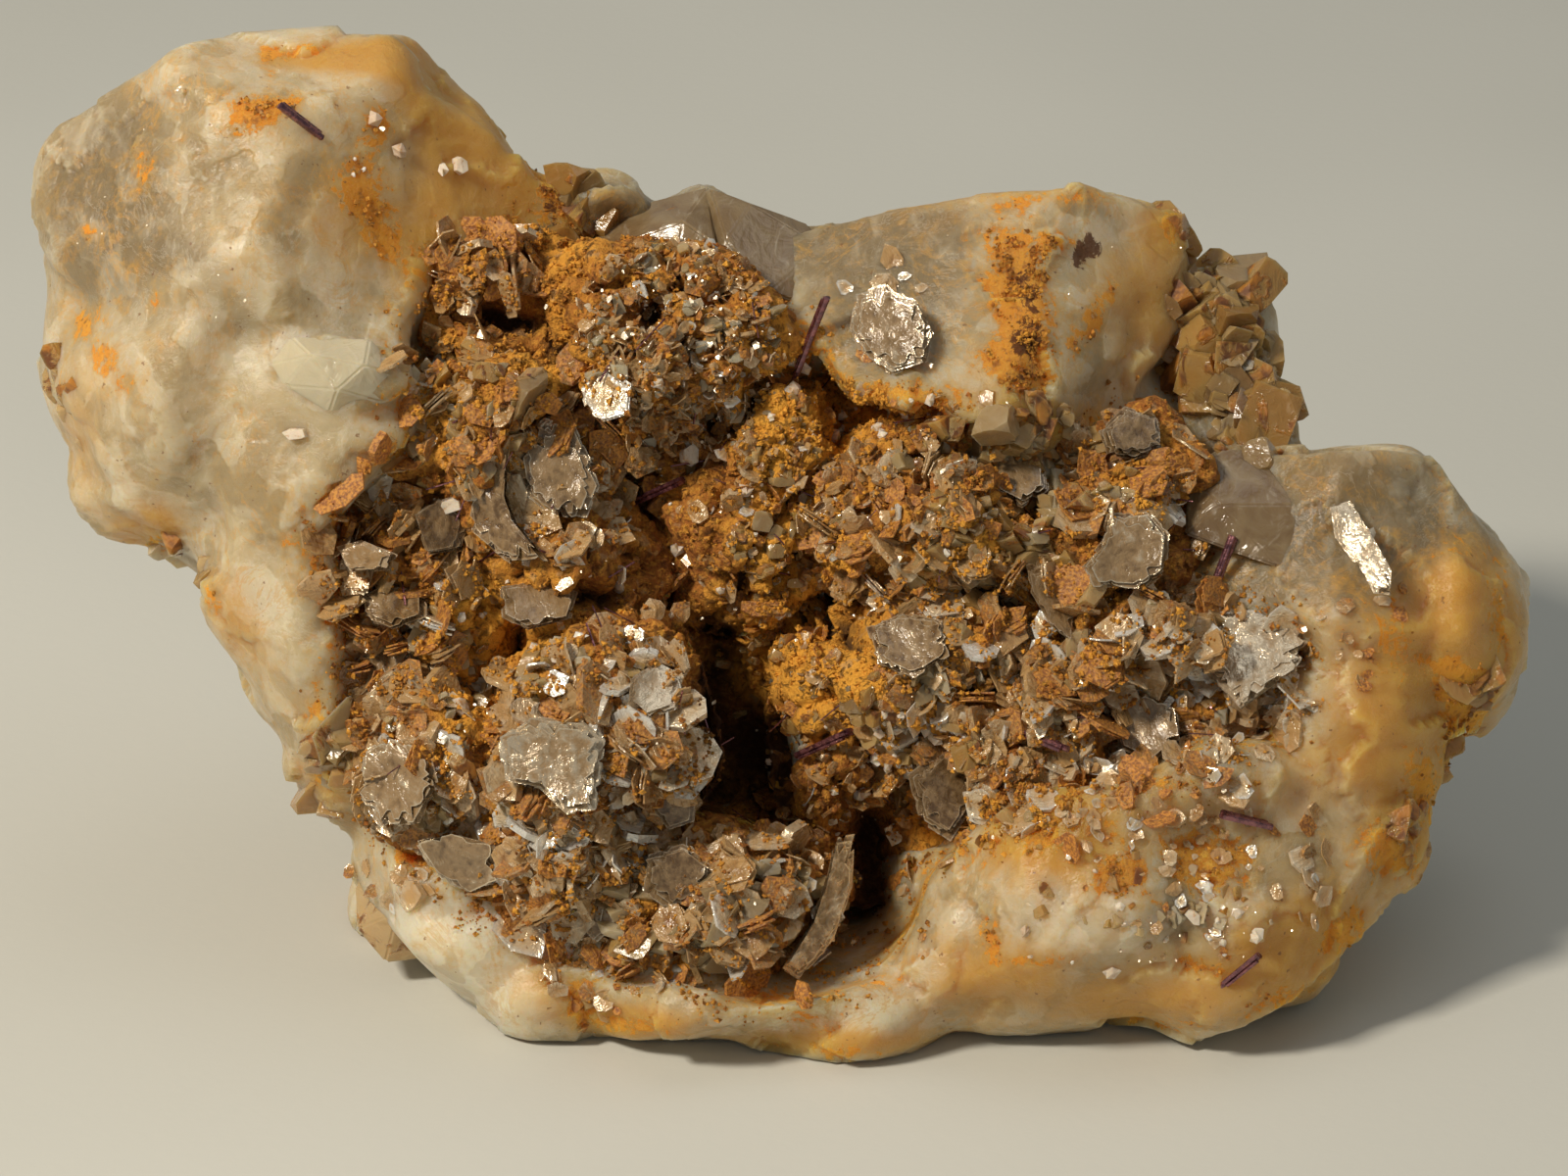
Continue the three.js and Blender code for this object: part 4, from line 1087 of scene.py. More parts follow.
# What is scattered over it.

def tree_of(surfaces):
    """Something to drop lines onto: several surfaces, each as its points and its triangles."""
    points, triangles, count = [], [], 0
    for some_points, some_triangles in surfaces:
        points.append(some_points)
        triangles.append(some_triangles + count)
        count += len(some_points)
    return BVHTree.FromPolygons(np.concatenate(points).tolist(), np.concatenate(triangles).tolist())


BARE = [(mass_skin.points, mass_skin.triangles), (crust_skin.points, crust_skin.triangles)]
GROUND = tree_of(BARE)
CLEAR_OF = 25  # how far outside the face a line starts, in mm
CAST = 60  # and how far it is followed


def landings(random, xy, tilt, ground=GROUND):
    """Where lines into the face, each leaning at random, first meet the specimen near points of the face.
    Returns the points that were met and the ways that the surface faces there."""
    start = off_face(np.column_stack([xy, np.zeros(len(xy))]))
    lean = random_directions(random, len(xy)) * tilt * random.uniform(0, 1, (len(xy), 1))
    way = unit(-OUTWARD + lean)
    hits = [ground.ray_cast(Vector(s - CLEAR_OF * w), Vector(w), CAST) for s, w in zip(start, way)]
    hits = [hit for hit in hits if hit[0] is not None]
    return np.array([hit[0] for hit in hits]), np.array([hit[1] for hit in hits])


def in_spot(random, count, x, y, wide, high):
    """Points spread evenly through an ellipse given in the photograph's pixels."""
    angle = random.uniform(0, 2 * np.pi, count)
    reach = np.sqrt(random.uniform(0, 1, count))
    middle = np.array(from_photo(x, y))
    ring = np.column_stack([wide * np.cos(angle), high * np.sin(angle)])
    return middle + ring * reach[:, None] / PIXELS_PER_MM


def in_spots(random, table):
    """Points spread through several ellipses: each row has x, y and half sizes in pixels, and how many."""
    return np.concatenate([in_spot(random, count, *spot) for *spot, count in table])


# Patches of small mica plates: x, y and half sizes in pixels, how many, least and greatest radius in mm,
# the way that they face on the specimen's face, how far they stray from it, and the middle of their tone.
MICA_PATCHES = [
    (690, 340, 100, 100, 620, 0.18, 0.5, (0.0, 0.3, 1.0), 1.1, 0.5),
    (660, 430, 90, 60, 200, 0.25, 0.7, (0.0, 0.4, 1.0), 0.9, 0.45),
    (615, 760, 110, 110, 300, 0.5, 1.35, (0.1, 0.25, 1.0), 0.75, 0.6),
    (560, 870, 80, 50, 130, 0.4, 1.1, (0.0, 0.3, 1.0), 0.8, 0.58),
    (400, 560, 80, 90, 150, 0.4, 1.3, (-0.4, 0.5, 0.9), 0.7, 0.35),
    (400, 720, 50, 110, 120, 0.5, 1.3, (-0.3, 0.2, 1.0), 0.6, 0.5),
    (440, 820, 60, 50, 80, 0.5, 1.3, (-0.2, 0.1, 1.0), 0.6, 0.66),
    (700, 930, 180, 80, 240, 0.4, 1.3, (0.1, 0.0, 1.0), 0.8, 0.5),
    (570, 500, 90, 70, 110, 0.4, 1.2, (0.1, 0.2, 1.0), 0.6, 0.5),
    (800, 560, 60, 220, 240, 0.18, 0.5, (0.0, 0.3, 1.0), 1.0, 0.35),
    (930, 540, 110, 90, 300, 0.3, 1.0, (0.0, 0.6, 0.9), 0.7, 0.45),
    (1000, 740, 120, 100, 240, 0.3, 1.2, (0.0, 0.4, 1.0), 0.8, 0.5),
    (1210, 680, 130, 80, 240, 0.5, 1.4, (0.0, 0.6, 0.9), 0.7, 0.68),
    (1150, 480, 80, 60, 120, 0.4, 1.2, (0.3, 0.4, 0.9), 0.7, 0.4),
    (840, 840, 70, 90, 130, 0.25, 0.8, (0.0, 0.4, 1.0), 0.9, 0.4),
    (490, 270, 70, 50, 120, 0.4, 1.2, (0.3, -0.2, 1.0), 0.9, 0.25),
    (470, 400, 60, 80, 110, 0.3, 0.9, (0.0, 0.2, 1.0), 0.8, 0.4),
    (905, 335, 40, 44, 46, 0.3, 0.9, (-0.1, 0.2, 1.0), 0.35, 0.6),
    (1180, 800, 120, 60, 70, 0.3, 0.9, (0.0, 0.4, 1.0), 0.5, 0.75),
    (1100, 740, 100, 60, 90, 0.4, 1.1, (0.0, 0.5, 0.9), 0.7, 0.6),
    (780, 660, 420, 330, 700, 0.2, 0.7, (0.0, 0.3, 1.0), 1.1, 0.42),
    (1230, 765, 49, 18, 40, 0.3, 0.9, (0.0, 0.5, 0.9), 0.6, 0.6),
    (1150, 795, 49, 18, 40, 0.3, 0.9, (0.0, 0.5, 0.9), 0.6, 0.55),
    (1300, 735, 40, 22, 30, 0.3, 0.9, (0.0, 0.5, 0.9), 0.6, 0.55),
    (1130, 850, 49, 36, 30, 0.15, 0.5, (0.0, 0.3, 1.0), 0.4, 0.62),
    (1240, 880, 49, 40, 30, 0.15, 0.55, (0.0, 0.3, 1.0), 0.4, 0.6),
    (1200, 950, 49, 30, 26, 0.12, 0.4, (0.0, 0.3, 1.0), 0.4, 0.6),
    (1335, 880, 10, 60, 20, 0.3, 0.7, (0.9, 0.1, 0.4), 0.3, 0.6),
    (1380, 640, 40, 50, 20, 0.2, 0.5, (0.0, 0.3, 1.0), 0.4, 0.6),
    (400, 900, 40, 30, 20, 0.3, 0.8, (0.0, 0.2, 1.0), 0.5, 0.65),
    (600, 1000, 49, 20, 26, 0.2, 0.6, (0.0, 0.2, 1.0), 0.5, 0.5),
]
EDGE_REACH = 1.5  # how far past the crust's outline its flakes and crumbs stray, in mm
DENSITY = 0.75  # the share of each patch's plates that are made
# Plates are paler on their rings, as split edges are, and partly as a painted sheen where the edges catch the
# light.
RIM_TONE = 0.22  # how much paler than its own tone a plate is on its rings
MIDDLE_TONE = -0.08  # and at its middles


def pale_rims(tones, sides):
    """A tone for each point of a plate: paler on the two rings than at the two middles, the paler rings being
    partly a painted sheen.
    """
    return tones[:, None] + np.concatenate([np.full(2 * sides, RIM_TONE), np.full(2, MIDDLE_TONE)])


def mica_flakes():
    """Thin plates in patches, seated on the surface where it faces, each leaning a little its own way."""
    random = np.random.default_rng(7)
    places, facings, radii, tones = [], [], [], []
    for x, y, wide, high, count, least, greatest, facing, stray, tone in MICA_PATCHES:
        count = int(count * DENSITY)
        spot, normal = landings(random, in_spot(random, count, x, y, wide, high), 0.7)
        count = len(spot)
        away = outline_distance(on_face(spot)[:, :2])
        aim = np.array(facing) @ FACE_AXES
        towards = unit(0.6 * aim + 0.4 * normal + 1.15 * stray * random_directions(random, count))
        radius = least + (greatest - least) * random.uniform(0, 1, count) ** 2
        slope = np.sqrt(np.maximum(0, 1 - np.sum(towards * normal, axis=1) ** 2))
        seat = spot + normal * (0.02 + 0.3 * slope * radius)[:, None]
        open_ground = spots(on_face(spot)[:, :2], HOLE_SPOTS) < random.uniform(0.15, 0.5, count)
        stays = open_ground & ((away < EDGE_REACH * random.uniform(-0.3, 1, count)) | (wide < 50))
        places.append(seat[stays])
        facings.append(towards[stays])
        radii.append(radius[stays])
        tones.append(np.clip(tone + random.normal(0, 0.2, count), 0, 0.9)[stays])
    places, facings = np.concatenate(places), np.concatenate(facings)
    radii, tones = np.concatenate(radii), np.concatenate(tones)
    count = len(radii)
    # Painted highlights: about one flake in a hundred, turned at random, takes the top tone and shows near
    # white like a glint.
    painted_glint = random.uniform(0, 1, count) < 0.012
    tones = np.where(painted_glint, 1.0, tones)
    thick = radii * (0.04 + 0.4 * random.uniform(0, 1, count) ** 4) + 0.02
    bends = random.normal(0, 0.13, count)
    shapes = plate_shapes(radii, thick, bends, 7, random)
    points = placed(shapes, places, facings, random.uniform(0, 2 * np.pi, count))
    dust = random.uniform(0.1, 1.3, count) * np.clip(1.35 - 1.5 * tones, 0, 1)
    return many("mica_flakes", points, capped_rows(2, 7), tone=pale_rims(tones, 7), dust=dust)


# Flakes that mirror the lamp, as x and y in pixels and radius in mm, then patches of smaller ones: x, y
# and half sizes in pixels, and how many.
GLINTS = [
    (580, 595, 0.42), (700, 572, 0.36), (1062, 740, 0.5), (832, 932, 0.34), (1240, 802, 0.14),
    (600, 405, 0.3), (580, 452, 0.3), (705, 310, 0.16), (560, 312, 0.14), (623, 310, 0.2), (640, 345, 0.2),
    (725, 350, 0.2), (770, 350, 0.22), (730, 395, 0.15), (652, 410, 0.16), (960, 485, 0.14),
    (915, 570, 0.35), (880, 595, 0.14), (768, 568, 0.16), (625, 720, 0.24), (400, 830, 0.14),
    (465, 880, 0.16), (650, 965, 0.16), (1085, 870, 0.14), (1010, 715, 0.14), (1330, 640, 0.14),
    (1268, 625, 0.2), (390, 134, 0.16), (190, 95, 0.16), (314, 380, 0.14), (905, 305, 0.16),
    (950, 376, 0.14), (1400, 545, 0.3), (730, 210, 0.2), (490, 345, 0.2), (660, 905, 0.2),
]
SPARKLES = [
    (700, 360, 110, 110, 70), (560, 780, 120, 120, 26), (800, 620, 380, 280, 110), (1200, 700, 140, 90, 24),
    (1180, 930, 140, 60, 16), (250, 250, 180, 180, 10), (700, 930, 180, 70, 20), (1050, 280, 180, 100, 8),
]


def glints():
    """Small flakes whose faces stand half way between the lamp and the viewer, so that they mirror it; their
    tone of 1 also paints them near white, a painted highlight.
    """
    random = np.random.default_rng(83)
    table = np.array(GLINTS)
    xy = np.column_stack(from_photo(table[:, 0], table[:, 1]))
    xy = np.concatenate([xy, in_spots(random, SPARKLES)])
    spot, normal = landings(random, xy, 0.0)
    count = len(spot)
    half_way = unit(unit(np.array(KEY_DIRECTION)) + OUTWARD)
    facing = unit(half_way + 0.07 * random_directions(random, count))
    radii = np.concatenate([table[:, 2], 0.04 + 0.09 * random.uniform(0, 1, count) ** 3])[:count]
    shapes = plate_shapes(radii, np.full(count, 0.05), np.zeros(count), 5, random)
    points = placed(shapes, spot + normal * 0.15 + OUTWARD * 0.2, facing, random.uniform(0, 6, count))
    # The tone of 1 gives them the painted highlight colour.
    return many("mica_glints", points, capped_rows(2, 5), tone=np.ones(count), dust=np.full(count, -0.6))


STACK_SPOTS = [
    (600, 780, 100, 100, 40), (400, 640, 60, 190, 30), (1180, 640, 170, 120, 34), (700, 920, 180, 80, 24),
    (930, 560, 110, 110, 16), (560, 420, 120, 120, 14), (980, 780, 120, 80, 14),
]


def flake_stacks():
    """Small books: four plates on one another, each slid and shrunk a little."""
    random = np.random.default_rng(19)
    spot, normal = landings(random, in_spots(random, STACK_SPOTS), 0.5)
    face = on_face(spot)[:, :2]
    inside = (outline_distance(face) < 0.2) & (spots(face, HOLE_SPOTS) < 0.2)
    spot, normal = spot[inside], normal[inside]
    count = len(spot)
    facing = unit(0.6 * OUTWARD + 0.4 * UP_FACE + 0.4 * normal + 1.0 * random_directions(random, count))
    radius = random.uniform(0.6, 1.35, count)
    spin = random.uniform(0, 2 * np.pi, count)
    slope = np.sqrt(np.maximum(0, 1 - np.sum(facing * normal, axis=1) ** 2))
    seat = spot + normal * (0.05 + 0.35 * slope * radius)[:, None]
    tone = np.clip(random.normal(0.45, 0.2, count), 0.05, 0.9)
    dust = random.uniform(0, 1, count)
    layers, tones, dusts = [], [], []
    for layer in range(4):
        shrink = random.uniform(0.78, 1.0, count)
        thick = np.full(count, 0.07)
        shapes = plate_shapes(radius * shrink, thick, random.normal(0, 0.02, count), 6, random)
        slide = random.normal(0, 0.08, (count, 3)) * radius[:, None]
        middle = seat + facing * (0.1 * layer) + slide - facing * np.sum(slide * facing, axis=1)[:, None]
        layers.append(placed(shapes, middle, facing, spin))
        tones.append(pale_rims(np.clip(tone + random.normal(0, 0.06, count), 0, 0.92), 6))
        dusts.append(dust)
    return many(
        "mica_small_books", np.concatenate(layers), capped_rows(2, 6),
        tone=np.concatenate(tones), dust=np.concatenate(dusts),
    )


# Where the feldspar is thick with crumbs: x, y and half sizes in pixels, and how many.
RUSTY_SPOTS = [
    (1042, 310, 44, 110, 2600), (1055, 840, 60, 50, 1200), (880, 412, 90, 26, 1400),
    (1500, 750, 40, 110, 900), (562, 205, 30, 54, 900), (375, 190, 50, 90, 400), (262, 122, 40, 26, 300),
    (1130, 890, 90, 30, 600),
]


# Boxes of the face in mm, round the crust and round the whole specimen, and how many crumbs each is tried
# with.
CRUMB_BOXES = [((-20, -19), (23, 14), 30000), ((-31, -20), (31, 22), 14000)]


def iron_crumbs(name, ground, seed):
    """Crumbs of iron oxide over the crust and what lies on it, thick where it is ochre, and in the feldspar's
    stains."""
    random = np.random.default_rng(seed)
    xy = np.concatenate([
        *(random.uniform(low, high, (count, 2)) for low, high, count in CRUMB_BOXES),
        in_spots(random, RUSTY_SPOTS),
    ])
    spot, normal = landings(random, xy, 0.8, ground)
    face = on_face(spot)
    away = outline_distance(face[:, :2])
    ochre = 0.35 + spots(face[:, :2], OCHRE_SPOTS)
    stained = np.clip(spots(face[:, :2], ORANGE_SPOTS) - 0.35, 0, 1) * 0.7
    stained += 0.6 * np.exp(-(away / 0.8) ** 2)
    chance = np.where(away < 0, ochre, stained) * rise(fractal(spot, 0.9, 2, 57), -0.1, 0.35) * 1.5
    stays = random.uniform(0, 1, len(spot)) < chance
    spot, normal, away = spot[stays], normal[stays], away[stays]
    count = len(spot)
    size = np.where(away < 0, 0.06, 0.04) + 0.13 * random.uniform(0, 1, count) ** 3
    points = placed(
        crumb_shapes(size, random), spot + normal * 0.03, random_directions(random, count), np.zeros(count),
    )
    fields = crust_fields(spot)
    tone = np.clip(fields["tone"] + random.normal(0.1, 0.2, count), 0, 1)
    # The depth field is painted shade in the holes; crumbs on the feldspar away from the crust are also
    # darkened through it where noise says, as their own dark tone.
    fields["depth"] = fields["depth"] + 0.45 * (away > 0.4) * (fractal(spot, 1.5, 2, 91) > 0.15)
    return many(name, points, capped_rows(1, 4), tone=tone, depth=fields["depth"])


PALE_SPOTS = [
    (780, 620, 380, 260, 120), (930, 770, 60, 50, 90), (900, 430, 60, 20, 16), (1180, 930, 120, 50, 14),
    (400, 160, 60, 60, 6),
]


def pale_grains():
    """Small blocky feldspar grains among the flakes, and a few on the swellings."""
    random = np.random.default_rng(29)
    spot, normal = landings(random, in_spots(random, PALE_SPOTS), 0.6)
    count = len(spot)
    size = 0.12 + 0.32 * random.uniform(0, 1, count) ** 2
    facing = unit(normal + 0.8 * random_directions(random, count))
    points = placed(grain_shapes(size, random), spot + normal * 0.05, facing, np.zeros(count))
    return many("feldspar_grains", points, capped_rows(2, 5), tone=random.uniform(0, 1, count))


piece("mica_flakes", mica_flakes(), SMOKY_MICA, "mica")
piece("mica_small_books", flake_stacks(), SMOKY_MICA, "mica")
piece("mica_glints", glints(), MICA, "mica")
piece("feldspar_grains", pale_grains(), SMALL_FELDSPAR, "small_feldspar")


# Books, needles and small crystals.

# The outline of each book as corners in the photograph's pixels, its tone, how far its ends curl up in mm,
# and how rusty it is.
BOOK_LOOKS = {
    1: ([
        (470, 480), (492, 452), (520, 456), (517, 505), (532, 548), (560, 574), (522, 578), (482, 545),
    ], 0.3, 0.5, 0.2),
    2: ([
        (528, 452), (556, 428), (586, 436), (602, 470), (612, 500), (600, 530), (566, 530), (538, 508),
    ], 0.62, 0.3, 0.1),
    3: ([
        (425, 525), (450, 508), (480, 530), (472, 560), (440, 566),
    ], 0.35, 0.3, 0.4),
    4: ([
        (345, 560), (372, 552), (408, 566), (402, 582), (360, 584),
    ], 0.75, 0.2, 0.1),
    5: ([
        (370, 605), (400, 590), (438, 604), (440, 630), (405, 642), (376, 630),
    ], 0.4, 0.3, 0.6),
    6: ([
        (512, 598), (560, 590), (592, 604), (584, 630), (540, 642), (515, 628),
    ], 0.55, 0.4, 0.4),
    7: ([
        (351, 650), (384, 636), (420, 646), (424, 690), (400, 722), (366, 714), (350, 690),
    ], 0.5, 0.5, 0.3),
    8: ([
        (376, 765), (402, 750), (440, 762), (452, 800), (430, 838), (392, 842), (368, 812),
    ], 0.62, 0.5, 0.1),
    9: ([
        (514, 748), (545, 728), (600, 732), (624, 750), (618, 785), (614, 822), (584, 826), (556, 800),
        (520, 792),
    ], 0.9, 0.5, 0.0),
    10: ([
        (648, 690), (672, 676), (698, 690), (694, 722), (664, 732), (645, 715),
    ], 0.95, 0.4, 0.1),
    11: ([
        (664, 796), (690, 786), (714, 800), (708, 838), (684, 846), (668, 825),
    ], 0.3, 0.3, 0.1),
    12: ([
        (424, 858), (462, 848), (506, 860), (512, 900), (482, 914), (446, 892),
    ], 0.6, 0.4, 0.0),
    13: ([
        (660, 870), (700, 858), (728, 880), (722, 916), (686, 926), (658, 905),
    ], 0.45, 0.4, 0.5),
    14: ([
        (562, 896), (594, 884), (632, 896), (636, 938), (606, 966), (572, 946),
    ], 0.7, 0.4, 0.1),
    15: ([
        (872, 850), (870, 905), (852, 962), (815, 1000), (800, 990), (830, 942), (846, 892), (856, 852),
    ], 0.85, 0.3, 0.0),
    16: ([
        (872, 300), (902, 290), (935, 308), (952, 340), (944, 374), (910, 384), (884, 366), (866, 335),
    ], 0.78, 0.3, 0.0),
    17: ([
        (1006, 462), (1034, 446), (1068, 456), (1070, 500), (1042, 518), (1010, 502),
    ], 0.5, 0.1, 0.2),
    18: ([
        (1122, 440), (1150, 414), (1184, 424), (1188, 456), (1160, 468), (1130, 464),
    ], 0.4, 0.2, 0.2),
    19: ([
        (1128, 524), (1170, 521), (1190, 545), (1187, 580), (1160, 602), (1110, 600), (1100, 580),
        (1120, 555),
    ], 0.55, 0.5, 0.0),
    20: ([
        (1046, 578), (1066, 572), (1098, 622), (1092, 656), (1070, 640), (1050, 606),
    ], 0.4, 0.3, 0.2),
    21: ([
        (1214, 642), (1236, 622), (1290, 617), (1325, 629), (1332, 652), (1318, 684), (1288, 702),
        (1260, 722), (1240, 700), (1222, 672),
    ], 0.95, 0.7, 0.0),
    22: ([
        (884, 640), (920, 624), (962, 632), (968, 668), (930, 692), (894, 676),
    ], 0.45, 0.4, 0.4),
    23: ([
        (1132, 722), (1165, 708), (1200, 722), (1202, 752), (1172, 778), (1140, 764),
    ], 0.65, 0.5, 0.0),
    24: ([
        (926, 790), (962, 762), (1002, 764), (1000, 812), (968, 858), (940, 840),
    ], 0.4, 0.5, 0.2),
    25: ([
        (1356, 514), (1374, 508), (1386, 530), (1400, 556), (1413, 584), (1412, 606), (1396, 604),
        (1388, 584), (1376, 570), (1360, 546),
    ], 1.15, 0.3, 0.0),
}
LAYERS = 6
LEAF = 0.09  # how thick each layer is, in mm
# Books' outer rings are paler, as split edges are, and partly as a painted sheen.
RIM_PALER = 0.7
RING_SHARES = np.array([1, 0.95, 0.75, 0.5, 0.25])
RINGS = len(RING_SHARES)


def straight_sides(corners, points_a_side=7):
    """Points along the sides of a polygon given in the photograph's pixels, anticlockwise on the face."""
    corner = np.column_stack(from_photo(*np.array(corners, float).T))
    following = np.roll(corner, -1, axis=0)
    if np.sum(corner[:, 0] * following[:, 1] - corner[:, 1] * following[:, 0]) < 0:
        corner = corner[::-1]
        following = np.roll(corner, -1, axis=0)
    share = (np.arange(points_a_side) / points_a_side)[None, :, None]
    return (corner[:, None] * (1 - share) + following[:, None] * share).reshape(-1, 2)


def mica_book(name):
    """A stack of thin plates in the plane of its CAD plate. Each is rings drawn in from the outline towards
    its middle, nibbled by noise, and it curls up by the square of the way across it."""
    middle, axes, _ = STANDING[name]
    seed = int(name.rsplit("_", 1)[1])
    corners, base, curl, rust = BOOK_LOOKS[seed]
    random = np.random.default_rng(100 + seed)
    normal = axes[2] * (1 if axes[2] @ OUTWARD > 0 else -1)
    tilt = FACE_AXES @ normal
    slope = np.clip(-tilt[:2] / max(tilt[2], 0.5), -0.7, 0.7)
    edge = straight_sides(corners)
    centre = edge.mean(axis=0)
    away = edge - centre
    size = np.linalg.norm(away, axis=1).max()
    spin = random.uniform(0, np.pi)
    bend = np.array([math.cos(spin), math.sin(spin)])
    ground = on_face(landings(random, centre[None], 0.0)[0])[0, 2]
    seat = max(on_face(middle)[2], ground + 0.1)
    share = RING_SHARES[:, None, None]
    plates = []
    for layer in range(LAYERS):
        round_edge = np.column_stack([edge * 2.2, np.full(len(edge), layer * 0.7 + seed)])
        nibble = 1 - 0.24 * rise(noise(round_edge, 1), 0, 0.5)
        shrink = 1 - 0.05 * layer * random.uniform(0.3, 1)
        ring = share * (away * nibble[:, None] * shrink)[None]
        rise_up = ring @ slope + curl * (ring @ bend / size) ** 2
        third = np.full((*ring.shape[:2], 1), seed + 0.15 * layer)
        crinkle = noise(np.concatenate([ring, third], axis=2).reshape(-1, 3), 0.9)
        height = seat + rise_up + 0.09 * crinkle.reshape(rise_up.shape) + LEAF * 1.5 * layer
        slide = random.normal(0, 0.05, 2)
        flat = centre + slide + ring
        upper = np.concatenate([flat, height[..., None] + LEAF / 2], axis=2)
        lower = np.concatenate([flat, height[..., None] - LEAF / 2], axis=2)
        top = [*(centre + slide), height[-1].mean()]
        tips = np.array([top, top]) + [[0, 0, LEAF / 2], [0, 0, -LEAF / 2]]
        plates.append(np.concatenate([upper[::-1].reshape(-1, 3), lower.reshape(-1, 3), tips]))
    columns = len(edge)
    points = off_face(np.stack(plates))
    rims = np.zeros(points.shape[1])
    rims[(RINGS - 1) * columns:(RINGS + 1) * columns] = RIM_PALER
    tones = (base + random.normal(0, 0.08, LAYERS))[:, None] + rims
    mesh = many(
        name + "_leaves", points, capped_rows(2 * RINGS, columns), tone=tones, dust=np.full(LAYERS, rust),
    )
    piece(name + "_leaves", mesh, BOOK_MICA, "mica", name)


def ground_height(xy):
    """How far out the surface lies at points of the face, in mm."""
    return on_face(landings(np.random.default_rng(1), xy, 0.0)[0])[:, 2]


def rutile_prism(name):
    """Three grooved prisms grown side by side along the CAD needle, brought out until all of it shows."""
    middle, axes, half = STANDING[name]
    way = axes[0] if axes[0] @ OUTWARD > 0 else -axes[0]
    random = np.random.default_rng(200 + int(name.rsplit("_", 1)[1]))
    ends = on_face(middle + np.outer([-1, 1], way) * half[0])
    ends[:, 2] = np.maximum(ends[:, 2], ground_height(ends[:, :2]) + [0.0, 0.35])
    share = np.linspace(0, 1, 9)[:, None]
    line = ends[0] + (ends[1] - ends[0]) * share
    ends[:, 2] += max(0.0, np.max(ground_height(line[:, :2]) - line[:, 2]) + 0.1)
    root, tip = off_face(ends)
    length = np.linalg.norm(tip - root)
    facings = np.repeat(unit(tip - root)[None], 3, axis=0)
    lengths = length * np.array([1.0, 0.9, 0.8])
    radii = np.array([0.17, 0.12, 0.1])
    across, along = across_and_along(facings, np.arange(3) * 2.1)
    places = (root + tip) / 2 + 0.1 * across - facings * random.uniform(0, 0.1, (3, 1)) * lengths[:, None]
    points = placed(needle_shapes(radii, lengths, 12, random), places, facings, np.zeros(3))
    piece(name + "_prisms", many(name + "_prisms", points, capped_rows(2, 12)), RUTILE, "rutile", name)


def hair_needles():
    """Thin loose-lying rutile needles among the flakes."""
    random = np.random.default_rng(61)
    xy = random.uniform((-16, -14), (18, 9), (90, 2))
    spot, normal = landings(random, xy, 0.5)
    kept = outline_distance(on_face(spot)[:, :2]) < 0
    spot, normal = spot[kept], normal[kept]
    count = len(spot)
    facing = unit(0.35 * normal + np.cross(normal, random_directions(random, count)))
    lengths = random.uniform(0.8, 2.2, count)
    points = placed(
        needle_shapes(random.uniform(0.025, 0.055, count), lengths, 6, random),
        spot + normal * 0.15 + facing * lengths[:, None] * 0.2, facing, np.zeros(count),
    )
    return many("rutile_hairs", points, capped_rows(2, 6))


def small_crystal(name):
    """A flat uneven six-sided crystal where the CAD crystal stands, seated on the surface that shows."""
    middle, _, half = STANDING[name]
    random = np.random.default_rng(300 + int(name.rsplit("_", 1)[1]))
    spot, normal = landings(random, on_face(middle)[None, :2], 0.0)
    facing = unit(normal + 0.6 * OUTWARD + 0.15 * random_directions(random, 1))
    radius = 0.62 * half[1:2]
    upper = plate_shapes(radius, np.array([0.42]), np.zeros(1), 6, random)
    upper[:, 0:6] *= [0.86, 0.86, 1.0]
    points = placed(upper, spot + facing * 0.16, facing, random.uniform(0, 3, 1))
    mesh = many(name + "_crystal", points, capped_rows(2, 6), tone=np.array([0.55]))
    piece(name + "_crystal", mesh, SMALL_FELDSPAR, "small_feldspar", name)


